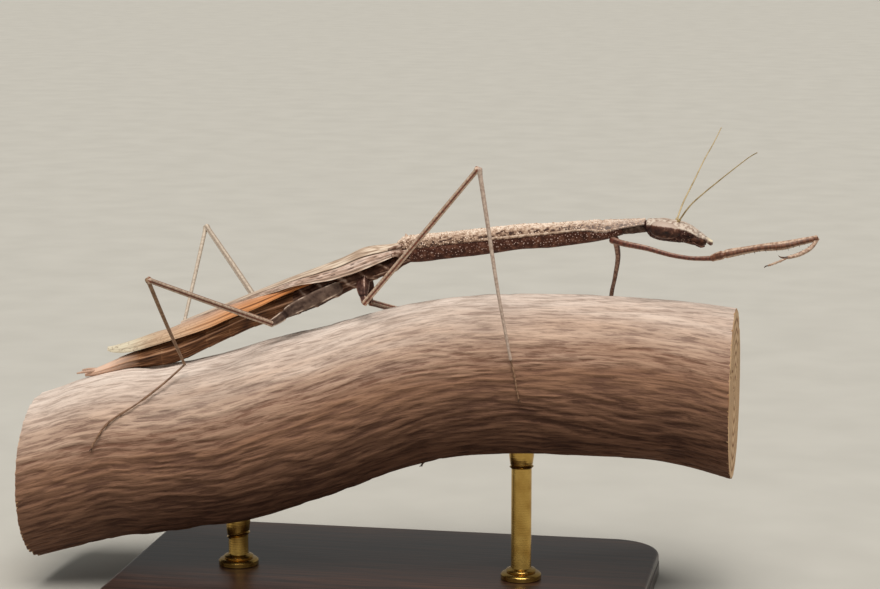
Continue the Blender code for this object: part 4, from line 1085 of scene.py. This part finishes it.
for side, side_name in ((-1, "right"), (1, "left")):
    rings, share, down, distance, both = wing(HINDWING, side, 18, 90, hind_relief)
    ribs = sum(groove(share - vein - 0.015 * np.sin(distance / 5), 0.028) for vein in HIND_VEINS)
    main = groove(share - MAIN_VEIN, 0.042) * np.clip(1.5 - 1.5 * down, 0, 1)
    marks = {"rib": both(np.maximum(np.clip(ribs, 0, 1) * 0.42 * np.clip(1.25 - down, 0, 1), 0.95 * main)),
             "down": both(down + 0 * share),
             "top": both(np.clip(1.25 - share / 0.62, 0, 0.7) * np.clip((0.85 - down) * 4, 0, 1))}
    fit(skin(f"hindwing_{side_name}_fan", [rings], orange_wing, [marks]), "wing_hind",
        f"hindwing_{side_name}")

# --- Forewings -----------------------------------------------------------------------------------
# Narrow leathery covers over the hindwings. The band along the back is smooth cream, a dark
# furrow sets off the pebbled outer field, and a pale rib edges it.
# the same columns as the hindwing's, then lines along the wing as shares of its width
FOREWING = [(3.2, 57.2, 55.5, 1.35), (1.0, 56.7, 54.6, 2.5), (-2.9, 56.15, 52.9, 3.2),
            (-6.3, 54.5, 51.7, 3.35), (-8.5, 53.6, 51.1, 3.35), (-13.5, 51.6, 50.15, 3.1),
            (-16.7, 50.3, 49.05, 2.4), (-20.0, 48.9, 47.98, 1.95), (-25.4, 46.6, 46.0, 1.25),
            (-29.5, 44.9, 44.3, 0.9), (-32.9, 43.5, 42.9, 0.50)]
FURROW, MARGIN = 0.57, 0.955
CREAM_VEINS, FIELD_VEINS = (0.16, 0.40), (0.645, 0.76, 0.875)
DASH_ROWS, LOWER_LINE = (0.70, 0.82), 0.93
# small brown plates that hinge the wing: place along X, out from the middle, height, radius
WING_HINGE = [
    [(3.5, 1.25, 56.8, 0.28), (2.2, 1.70, 56.45, 0.26), (1.1, 1.95, 56.15, 0.12)],
    [(4.6, 1.50, 55.9, 0.40), (3.2, 1.80, 55.6, 0.45), (1.7, 2.20, 55.2, 0.34)],
]


def furrow_line(down):
    """Where the dark furrow lies across the wing, which it crosses slowly towards the tip."""
    return FURROW + 0.03 * down


def fore_relief(share, down, distance):
    """Height of the forewing's veins, pebbles and rib over its furrow."""
    field = (np.clip((share - furrow_line(down) - 0.03) / 0.04, 0, 1)
             * np.clip((MARGIN - 0.02 - share) / 0.03, 0, 1))
    ribs = sum(groove(share - vein, 0.030) for vein in CREAM_VEINS) * 0.6
    ribs = ribs + sum(groove(share - vein, 0.020) for vein in FIELD_VEINS)
    pebbles = np.maximum(waver(distance / 0.7, share * 36, 81), -0.3)
    return (0.05 * np.clip(ribs, 0, 1) + 0.05 * field * pebbles
            - 0.16 * groove(share - furrow_line(down), 0.022)
            + 0.08 * groove(share - MARGIN - 0.05, 0.04)) * np.clip((1 - down) * 9, 0.1, 1)


# Forewing leather: matt cream to fawn, umber in the furrow and between the pebbles.
cream_wing, tree, shader = new_finish("cream_wing_leather", 0.6, Specular_IOR_Level=0.3)
place = add_node(tree, "ShaderNodeTexCoord")
zone = add_node(tree, "ShaderNodeAttribute", attribute_name="zone")
hollow = add_node(tree, "ShaderNodeAttribute", attribute_name="hollow")
down_mark = add_node(tree, "ShaderNodeAttribute", attribute_name="down")
lie = add_node(tree, "ShaderNodeMapping", {"Vector": place.outputs["Object"], "Rotation": (0.0, -0.38, 0.0),
                                           "Scale": (0.004, 0.00035, 0.00035)}, vector_type="TEXTURE")
streak = add_node(tree, "ShaderNodeTexNoise",
                  {"Vector": lie.outputs["Vector"], "Scale": 1.0, "Detail": 1.0})
band = add_node(tree, "ShaderNodeValToRGB", {"Fac": streak.outputs["Fac"]},
                stops=((0.3, "9a836e"), (0.62, "decdb9"), (0.45, "c0a893")))
fawn = add_node(tree, "ShaderNodeValToRGB", {"Fac": streak.outputs["Fac"]},
                stops=((0.3, "a88b79"), (0.66, "dfc8ba"), (0.5, "c6aa99")))
ground = add_node(tree, "ShaderNodeMix", {0: zone.outputs["Fac"], 6: band.outputs["Color"],
                                          7: fawn.outputs["Color"]}, data_type="RGBA")
aged = add_node(tree, "ShaderNodeMapRange",
                {"Value": down_mark.outputs["Fac"], "From Min": 0.42, "From Max": 0.8, "To Max": 0.5})
older = add_node(tree, "ShaderNodeMix",
                 {0: aged.outputs["Result"], 6: ground.outputs[2], 7: linear("b8a595")}, data_type="RGBA")
sunk = add_node(tree, "ShaderNodeMix", {0: hollow.outputs["Fac"], 6: older.outputs[2], 7: linear("3a2114")},
                data_type="RGBA")
relief = add_node(tree, "ShaderNodeBump", {"Height": streak.outputs["Fac"], "Distance": 0.00003})
lay_on(tree, shader, sunk.outputs[2], relief)
for side, side_name in ((-1, "right"), (1, "left")):
    rings, share, down, distance, both = wing(FOREWING, side, 26, 110, fore_relief)
    line = furrow_line(down)
    field = np.clip((share - line - 0.02) / 0.03, 0, 1) * np.clip((MARGIN - 0.03 - share) / 0.02, 0, 1)
    pebbles = np.clip(0.5 - 1.1 * waver(distance / 0.7, share * 36, 81), 0, 1)
    threads = (groove(share - CREAM_VEINS[1] - 0.03, 0.016)
               * np.clip(0.6 + waver(distance / 3, 0 * share, 84), 0, 1))
    dashes = sum(groove(share - row, 0.022)
                 * np.clip(0.5 + 1.8 * waver(distance / 0.5, row * 90 + 0 * share, 83), 0, 1)
                 for row in DASH_ROWS)
    dark = np.clip(1.05 * groove(share - line, 0.026) + 0.40 * threads + 0.20 * field * pebbles
                   + 0.75 * dashes + 0.65 * groove(share - LOWER_LINE, 0.018), 0, 0.97)
    dark = dark * (1 - 0.6 * np.clip((down - 0.45) / 0.3, 0, 1))
    marks = {"zone": both(np.maximum(field, 0.5 * (share > MARGIN - 0.04))),
             "hollow": both(dark * np.clip((1.05 - down) * 3, 0, 1)), "down": both(down + 0 * share)}
    fit(skin(f"forewing_{side_name}_cover", [rings], cream_wing, [marks]), "wing_fore",
        f"forewing_{side_name}")
    hinge = [limb([(x, side * y, z, radius) for x, y, z, radius in route], 0.06, 20,
                  shape=lambda t, turn: 1 + 0.22 * waver_round(t * 7, turn, 85, 6))
             for route in WING_HINGE]
    hinge_marks = [{"keel": 0.55 + 0.35 * waver_round(reach / 0.35, turns, 86, 7)}
                   for rings, reach, turns in hinge]
    fit(skin(f"forewing_{side_name}_hinge", [rings for rings, reach, turns in hinge], plate_cuticle,
             hinge_marks), "cuticle_body")

# --- Legs ----------------------------------------------------------------------------------------
# Four long walking legs, and two slim catching legs in front. Each is a coxa and trochanter, a
# keeled femur, a tibia and a five-jointed tarsus with two claws. Keels are worn pale over reddish
# brown grooves.


def on_perch(x, degrees, lift, radius=0.17):
    """A limb point lifted off the wood. 0 degrees faces the animal's right, 90 up, 180 its left."""
    middle, tall, wide = perch_at(x)
    turn = math.radians(degrees)
    return (x, -(wide + lift) * math.cos(turn), middle + (tall + lift) * math.sin(turn), radius)


# each segment's points, and its radius there
LEGS = {
    "foreleg_right": {
        "coxa": [(35.6, -0.9, 58.5, 0.62), (37.8, -2.2, 58.1, 0.50), (41.5, -3.2, 57.6, 0.42),
                 (45.1, -4.0, 56.8, 0.38), (48.5, -4.6, 56.45, 0.36), (51.6, -5.0, 56.6, 0.42)],
        "femur": [(51.2, -4.95, 56.5, 0.42), (53.4, -5.3, 57.3, 0.60), (58.3, -5.5, 58.4, 0.50),
                  (62.0, -5.5, 58.9, 0.60), (64.6, -5.2, 59.5, 0.50), (67.2, -5.0, 60.1, 0.38)],
        "tibia": [(67.15, -5.0, 60.15, 0.33), (66.2, -5.5, 58.7, 0.34), (64.5, -6.0, 57.7, 0.33),
                  (62.7, -6.5, 57.2, 0.24)],
        "tarsus": [(62.9, -6.45, 57.25, 0.20), (61.2, -6.8, 56.5, 0.20), (59.9, -7.0, 56.0, 0.18)],
    },
    "foreleg_left": {
        "coxa": [(36.2, 0.8, 58.6, 0.62), (36.4, 3.3, 55.3, 0.47), (35.85, 5.0, 52.1, 0.40),
                 (35.05, 7.2, 48.9, 0.38), (34.4, 10.9, 45.0, 0.44)],
        "femur": [(34.2, 10.8, 45.1, 0.42), (37.2, 12.3, 43.9, 0.56), (43.2, 14.5, 41.6, 0.58),
                  (47.5, 16.2, 39.5, 0.38)],
        "tibia": [(47.5, 16.2, 39.6, 0.33), (45.9, 15.6, 36.0, 0.33), on_perch(42.6, 197, 1.9, 0.24)],
        "tarsus": [on_perch(42.6, 197, 1.9), on_perch(40.4, 206, 0.8), on_perch(38.2, 212, 0.25),
                   on_perch(36.6, 217, 0.22)],
    },
    "midleg_right": {
        "coxa": [(-2.9, -1.0, 51.8, 0.95), (-2.8, -2.6, 50.2, 0.92), (-2.4, -3.8, 48.7, 0.62),
                 (-2.1, -4.3, 47.9, 0.50)],
        "femur": [(-2.3, -4.1, 47.8, 0.48), (7.9, -10.1, 59.4, 0.46), (17.8, -16.0, 70.8, 0.40)],
        "tibia": [(17.8, -16.0, 70.9, 0.34), (19.0, -15.1, 62.2, 0.31), (20.4, -14.0, 52.0, 0.26),
                  on_perch(22.1, 19.6, 0.6, 0.23)],
        "tarsus": [on_perch(22.1, 19.6, 0.6), on_perch(22.7, 10, 0.2), on_perch(23.1, 0, 0.2),
                   on_perch(23.4, -7, 0.2)],
    },
    "midleg_left": {
        "coxa": [(-2.9, 1.0, 51.6, 0.95), (-2.9, 2.7, 49.6, 0.90), (-3.0, 3.7, 47.6, 0.60),
                 (-3.0, 4.0, 46.6, 0.50)],
        "femur": [(-3.1, 3.8, 46.8, 0.48), (3.5, 16.0, 42.5, 0.46), (10.0, 28.0, 38.2, 0.40)],
        "tibia": [(10.0, 28.0, 38.3, 0.34), (8.3, 18.0, 31.2, 0.30), on_perch(6.7, 234, 0.9, 0.23)],
        "tarsus": [on_perch(6.7, 234, 0.9), on_perch(6.5, 247, 0.3), on_perch(6.3, 259, 0.25),
                   on_perch(6.0, 269, 0.5)],
    },
    "hindleg_right": {
        "coxa": [(-6.2, -1.5, 50.2, 1.15), (-10.5, -2.6, 48.2, 1.30), (-14.0, -3.4, 46.5, 1.05),
                 (-16.0, -4.1, 45.0, 0.80), (-17.4, -4.4, 44.1, 0.62)],
        "femur": [(-16.8, -4.1, 44.2, 0.50), (-23.4, -16.0, 49.4, 0.46), (-29.8, -27.4, 54.5, 0.40)],
        "tibia": [(-29.8, -27.4, 54.6, 0.34), (-30.2, -17.0, 46.0, 0.30), on_perch(-30.7, 66.0, 1.7, 0.23)],
        "tarsus": [on_perch(-30.7, 66.0, 1.7, 0.22), on_perch(-33.6, 54.5, 0.9, 0.22),
                   on_perch(-37.3, 42.5, 0.4),
                   on_perch(-41.6, 30.5, 0.26, 0.2), on_perch(-43.6, 19.0, 0.22),
                   on_perch(-44.0, 15.0, 0.2)],
    },
    "hindleg_left": {
        "coxa": [(-6.2, 1.5, 50.2, 1.15), (-11.5, 2.7, 47.8, 1.25), (-16.5, 3.3, 45.8, 0.95),
                 (-19.2, 3.7, 44.6, 0.76), (-20.2, 3.9, 44.05, 0.60)],
        "femur": [(-19.8, 3.7, 44.1, 0.50), (-27.6, 13.7, 49.9, 0.46), (-35.3, 23.5, 55.5, 0.40)],
        "tibia": [(-35.3, 23.5, 55.6, 0.34), (-36.2, 16.5, 44.8, 0.30), on_perch(-36.9, 128, 1.7, 0.23)],
        "tarsus": [on_perch(-36.9, 128, 1.7), on_perch(-39.5, 138, 0.8), on_perch(-42.8, 148, 0.35),
                   on_perch(-45.6, 157, 0.22), on_perch(-46.6, 162, 0.2)],
    },
}
KEELS = 4                               # ridges along a femur or coxa
CLOSE_RINGS, WIDE_RINGS = 0.10, 0.13    # from ring to ring, on coxae and feet and on the rest


def keel_share(turns, sharpness=1.6, keels=KEELS):
    """1 on a keel and 0 in the middle of the groove between two keels."""
    return (0.5 + 0.5 * np.cos(keels * turns)) ** sharpness


TROCHANTER = 0.77               # share of a walking coxa's length where its trochanter begins
CATCHING_TROCHANTER = 0.14      # share of a catching femur's length where its trochanter ends


def coxa_shape(t, turns):
    """A squarish, dented walking coxa with the seam of its trochanter."""
    square = (np.cos(turns + math.pi / 4) ** 4 + np.sin(turns + math.pi / 4) ** 4) ** -0.25
    dents = waver_round(t * 5, turns, 92, 8)
    seam = groove(t - TROCHANTER, 0.022)
    return (0.84 * square + 0.08 * keel_share(turns, 6) + 0.07 * dents) * (1 - 0.24 * seam)


def catching_coxa_shape(t, turns):
    """A slim rod with two blunt keels."""
    return 0.84 + 0.12 * keel_share(turns, keels=2) + 0.05 * waver_round(t * 9, turns, 92, 6)


def femur_shape(t, turns):
    """A keeled rod with a collar at its root and a knee at its end."""
    knee = groove(1 - t, 0.022) * (0.30 + 0.25 * np.abs(np.sin(turns))) + groove(t, 0.03) * 0.12
    return 0.90 + 0.20 * keel_share(turns) + knee


def catching_femur_shape(t, turns):
    """The catching femur with its trochanter, which a deep seam sets off."""
    knob = (0.02 * np.clip((CATCHING_TROCHANTER - t) / 0.02, 0, 1)
            - 0.26 * groove(t - CATCHING_TROCHANTER, 0.012))
    return femur_shape(t, turns) + knob + 0.05 * waver_round(t * 9, turns, 94, 6)


def tibia_shape(t, turns):
    """A thin shin, swollen just below the knee."""
    return 0.94 + 0.07 * keel_share(turns) + 0.34 * groove(t - 0.012, 0.022) + 0.12 * groove(1 - t, 0.02)


TARSUS_ENDS = (0.0, 0.44, 0.65, 0.79, 0.88, 1.001)      # share of the foot's length at each joint


def tarsus_shape(t, turns):
    """A foot's five joints, each with a small pad below its far end."""
    joint = np.searchsorted(TARSUS_ENDS, t, side="right") - 1
    start, end = np.array(TARSUS_ENDS)[joint], np.array(TARSUS_ENDS)[np.minimum(joint + 1, 5)]
    phase = (t - start) / np.maximum(end - start, 1e-6)
    sole = 0.25 * phase ** 6 * np.clip(-np.cos(turns), 0, 1)
    return 0.72 + 0.36 * phase ** 3 - 0.25 * np.exp(-((1 - phase) / 0.03) ** 2) + sole


SEGMENT_SHAPES = {"coxa": coxa_shape, "femur": femur_shape, "tibia": tibia_shape, "tarsus": tarsus_shape}
CATCHING_SHAPES = {"coxa": catching_coxa_shape, "femur": catching_femur_shape}


def leg_finish(name, colours, roughness=0.52):
    """Leg cuticle: colours are groove, dash, keel shadow and keel crest."""
    finish, tree, shader = new_finish(name, roughness, Specular_IOR_Level=0.4)
    place = add_node(tree, "ShaderNodeTexCoord")
    keel_mark = add_node(tree, "ShaderNodeAttribute", attribute_name="keel")
    reach_mark = add_node(tree, "ShaderNodeAttribute", attribute_name="reach")
    dashes = add_node(tree, "ShaderNodeTexNoise",
                      {"W": reach_mark.outputs["Fac"], "Scale": 1.9, "Detail": 1.0}, noise_dimensions="1D")
    dash = add_node(tree, "ShaderNodeMapRange", {"Value": dashes.outputs["Fac"], "From Min": 0.46,
                                                 "From Max": 0.54})
    deep = add_node(tree, "ShaderNodeMix", {0: dash.outputs["Result"], 6: linear(colours[0]),
                                            7: linear(colours[1])}, data_type="RGBA")
    fleck = add_node(tree, "ShaderNodeTexNoise", {"Vector": place.outputs["Object"], "Scale": 2300.0,
                                                  "Detail": 3.0})
    crest = add_node(tree, "ShaderNodeValToRGB", {"Fac": fleck.outputs["Fac"]},
                     stops=((0.34, colours[2]), (0.62, colours[3])))
    edge = add_node(tree, "ShaderNodeMapRange", {"Value": keel_mark.outputs["Fac"], "From Min": 0.06,
                                                 "From Max": 0.42})
    body = add_node(tree, "ShaderNodeMix", {0: edge.outputs["Result"], 6: deep.outputs[2],
                                            7: crest.outputs["Color"]}, data_type="RGBA")
    relief = add_node(tree, "ShaderNodeBump", {"Height": fleck.outputs["Fac"], "Distance": 0.00003})
    lay_on(tree, shader, body.outputs[2], relief)
    return finish


# Keeled cuticle of the middle thighs: pale fawn crests over chestnut grooves with rust dashes.
keeled_cuticle = leg_finish("keeled_fawn_cuticle", ("6b4232", "8f4f3a", "ab8c76", "dcc2ac"))
# The hind thighs are plainer, fawn over umber, and the far leg's thigh and shin get a paler copy.
hind_cuticle = leg_finish("fawn_hind_cuticle", ("663c2c", "7a4a36", "9f8672", "ccb6a3"))
far_hind_paler_cuticle = leg_finish("paler_fawn_copy_cuticle", ("a08f80", "ab9b8b", "b2a292", "cfc0ae"))
# Smooth cuticle of the shins: pinkish fawn, mottled; the feet are darker.
shin_cuticle = leg_finish("fawn_shin_cuticle", ("97806f", "a58d7c", "a89082", "cbb7a8"))
foot_cuticle = leg_finish("umber_foot_cuticle", ("4c3222", "5c3f2d", "644733", "8d6d54"))
umber_shin_cuticle = leg_finish("umber_shin_cuticle", ("654832", "74533c", "785b43", "9c7f66"))
# Coxae: greyish olive brown behind and purplish brown in the middle, with thin pale ridges.
hind_coxa_cuticle = ridged("olive_brown_coxa_cuticle",
                           ((0.25, "34241e"), (1.2, "cbb6a6"), (0.5, "57443a"), (0.85, "7b675a")))
middle_coxa_cuticle = ridged("purplish_coxa_cuticle",
                             ((0.25, "2a1611"), (1.1, "c6a99a"), (0.5, "472c24"), (0.8, "785a4e")))
# Catching legs: russet umber with buff crests, and redder coxae.
catching_cuticle = leg_finish("russet_umber_cuticle", ("56321f", "70452f", "886450", "cbb09a"))
catching_coxa_cuticle = leg_finish("maroon_coxa_cuticle", ("4a261b", "643325", "6a473a", "ab8a78"))
# Horn: the near black, glossy stuff of claws and spine tips.
claw_horn = speckled("dark_claw_horn", 0.3, 2500.0, ((0.35, "23130b"), (0.65, "5d3d26")), gloss=0.5,
                     Coat_Weight=0.2)

SEGMENT_FINISH = {"coxa": middle_coxa_cuticle, "femur": keeled_cuticle, "tibia": shin_cuticle,
                  "tarsus": foot_cuticle}
CATCHING_FINISH = {"coxa": catching_coxa_cuticle}
HIND_TILT = {"coxa": 0.6, "femur": 1.7}     # turns the keels of the hind legs
HIND_FINISH = {"coxa": hind_coxa_cuticle, "femur": hind_cuticle, "tibia": umber_shin_cuticle}
for leg_name, segments in LEGS.items():
    catching = leg_name.startswith("fore")
    for segment, path in segments.items():
        spacing = CLOSE_RINGS if segment in ("coxa", "tarsus") else WIDE_RINGS
        tilt = HIND_TILT.get(segment, 0.0) * np.sign(path[-1][1]) if leg_name.startswith("hind") else 0.0
        shape = SEGMENT_SHAPES[segment]
        if catching:
            shape = CATCHING_SHAPES.get(segment, shape)
        rings, reach, turns = limb(path, spacing, 32, (0.25, tilt, 1.0), shape)
        keel = keel_share(turns, keels=2 if catching else KEELS) + 0 * reach
        if catching and segment == "femur":
            keel = keel - 0.3 * np.clip((CATCHING_TROCHANTER - reach / reach[-1]) / 0.015, 0, 1)
        if segment in ("tibia", "tarsus"):
            keel = 0.35 + 0.4 * keel
        if segment == "coxa" and not catching:
            wrinkle = waver_round(reach / 0.9, turns, 91, 16)
            seam = groove(reach / reach[-1] - TROCHANTER, 0.02)
            worn = np.maximum(0.55 + 0.45 * waver_round(reach / 1.1, turns, 93, 4),
                              np.clip((reach / reach[-1] - TROCHANTER) / 0.03, 0, 1))
            keel = 0.10 + 0.75 * keel_share(turns, 12) * worn + 0.14 * wrinkle - 0.5 * seam
            middles = rings.mean(axis=1, keepdims=True)
            rings = middles + (rings - middles) * (1 + 0.03 * wrinkle)[..., None]
        finish = CATCHING_FINISH.get(segment, catching_cuticle) if catching else SEGMENT_FINISH[segment]
        if leg_name.startswith("hind"):
            finish = HIND_FINISH.get(segment, finish)
        if leg_name == "hindleg_left" and segment in ("femur", "tibia"):
            finish = far_hind_paler_cuticle
        piece = skin(f"{leg_name}_{segment}_shell", [rings], finish,
                     [{"keel": keel, "reach": reach + 0 * turns}])
        slot = "cuticle_body" if segment == "coxa" else "cuticle_leg"
        fit(piece, slot, f"{leg_name}_{segment}")

    # Two curved claws at the tip of the foot, and two spurs at the end of each walking shin.
    foot = np.array(segments["tarsus"])[:, :3]
    tip, heading = foot[-1], unit(foot[-1] - foot[-2])
    x, y, z = tip
    middle, tall, wide = perch_at(x)
    lift_off = unit(np.array([0.0, y, z - middle]))
    if leg_name == "foreleg_right":                     # this foot is held out, off the wood
        lift_off = np.array([0.0, 0.0, 1.0])
    aside = np.cross(heading, lift_off)
    claws = []
    for spread in (-1, 1):
        hook = [(*(tip - 0.06 * heading), 0.085),
                (*(tip + 0.22 * heading + 0.12 * spread * aside + 0.05 * lift_off), 0.075),
                (*(tip + 0.45 * heading + 0.20 * spread * aside - 0.02 * lift_off), 0.045),
                (*(tip + 0.52 * heading + 0.22 * spread * aside - 0.13 * lift_off), 0.015)]
        claws.append(limb(hook, 0.03, 10, aside)[0])
    fit(skin(f"{leg_name}_claws", claws, claw_horn), "cuticle_leg")
    shin_end = np.array(segments["tibia"][-1][:3])
    shin_way = unit(shin_end - np.array(segments["tibia"][-2][:3]))
    across_shin = unit(np.cross(shin_way, (0.25, 0.0, 1.0)))
    if not catching:
        spur_outs = [shin_way * 0.8 + across_shin * sign * 0.55 for sign in (-1, 1)]
        fit(stud_points(f"{leg_name}_spurs", [shin_end - shin_way * 0.15] * 2, spur_outs,
                        [(0.35, 0.35, 0.62)] * 2, spine_stamp, claw_horn), "cuticle_leg")

# --- Catching spines and claws -------------------------------------------------------------------
# Two rows of spines stand under each catching femur, long and short in turn, and one row under the
# tibia, which a hooked claw ends. All are of the same dark horn.
SPINE_GIRTH, SHORT_SPINE = 0.26, 0.62       # a spine's scale across, and the share of a short one


def square_to(direction, along):
    """The part of a direction that is square to another, as a unit vector."""
    return unit(direction - along * (direction @ along))


for leg_name in ("foreleg_right", "foreleg_left"):
    spots, outs, sizes = [], [], []
    for segment, first, last, step, length in (("femur", 0.26, 0.88, 0.05, 0.5),
                                               ("tibia", 0.25, 0.9, 0.085, 0.35)):
        rows = follow(LEGS[leg_name][segment], 0.1)[0]
        other = np.array(LEGS[leg_name]["tibia" if segment == "femur" else "femur"])[:, :3].mean(0)
        for number, share in enumerate(np.arange(first, last, step)):
            index = int(share * (len(rows) - 1))
            ahead = unit(rows[index + 1, :3] - rows[index - 1, :3])
            inward = square_to(other - rows[index, :3], ahead)
            sideways = np.cross(ahead, inward)
            for sign in ((-1, 1) if segment == "femur" else (0,)):
                lean = inward + 0.45 * sign * sideways + 0.25 * ahead * (1 if segment == "femur" else 1.6)
                spots.append(rows[index, :3] + unit(lean) * rows[index, 3] * 0.8)
                outs.append(lean)
                sizes.append((SPINE_GIRTH, SPINE_GIRTH, length * (1.0 if number % 2 else SHORT_SPINE)))
    fit(stud_points(f"{leg_name}_spines", spots, outs, sizes, spine_stamp, claw_horn), "cuticle_leg")
    rows = follow(LEGS[leg_name]["tibia"], 0.1)[0]
    heading, end = unit(rows[-1, :3] - rows[-4, :3]), rows[-1, :3]
    inward = square_to(np.array(LEGS[leg_name]["femur"])[:, :3].mean(0) - end, heading)
    hook = [(*(end - 0.3 * heading), 0.22), (*(end + 0.35 * heading + 0.12 * inward), 0.17),
            (*(end + 0.85 * heading + 0.42 * inward), 0.10), (*(end + 1.1 * heading + 0.85 * inward), 0.02)]
    fit(skin(f"{leg_name}_tibial_claw", [limb(hook, 0.04, 14)[0]], claw_horn), "cuticle_leg")

# --- Tidying up ----------------------------------------------------------------------------------
# The stamps were only patterns. The box round the dressed model is measured.
for pattern in (granule_stamp, spine_stamp, bead_stamp, barrel_stamp):
    bpy.data.objects.remove(pattern)
low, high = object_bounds()
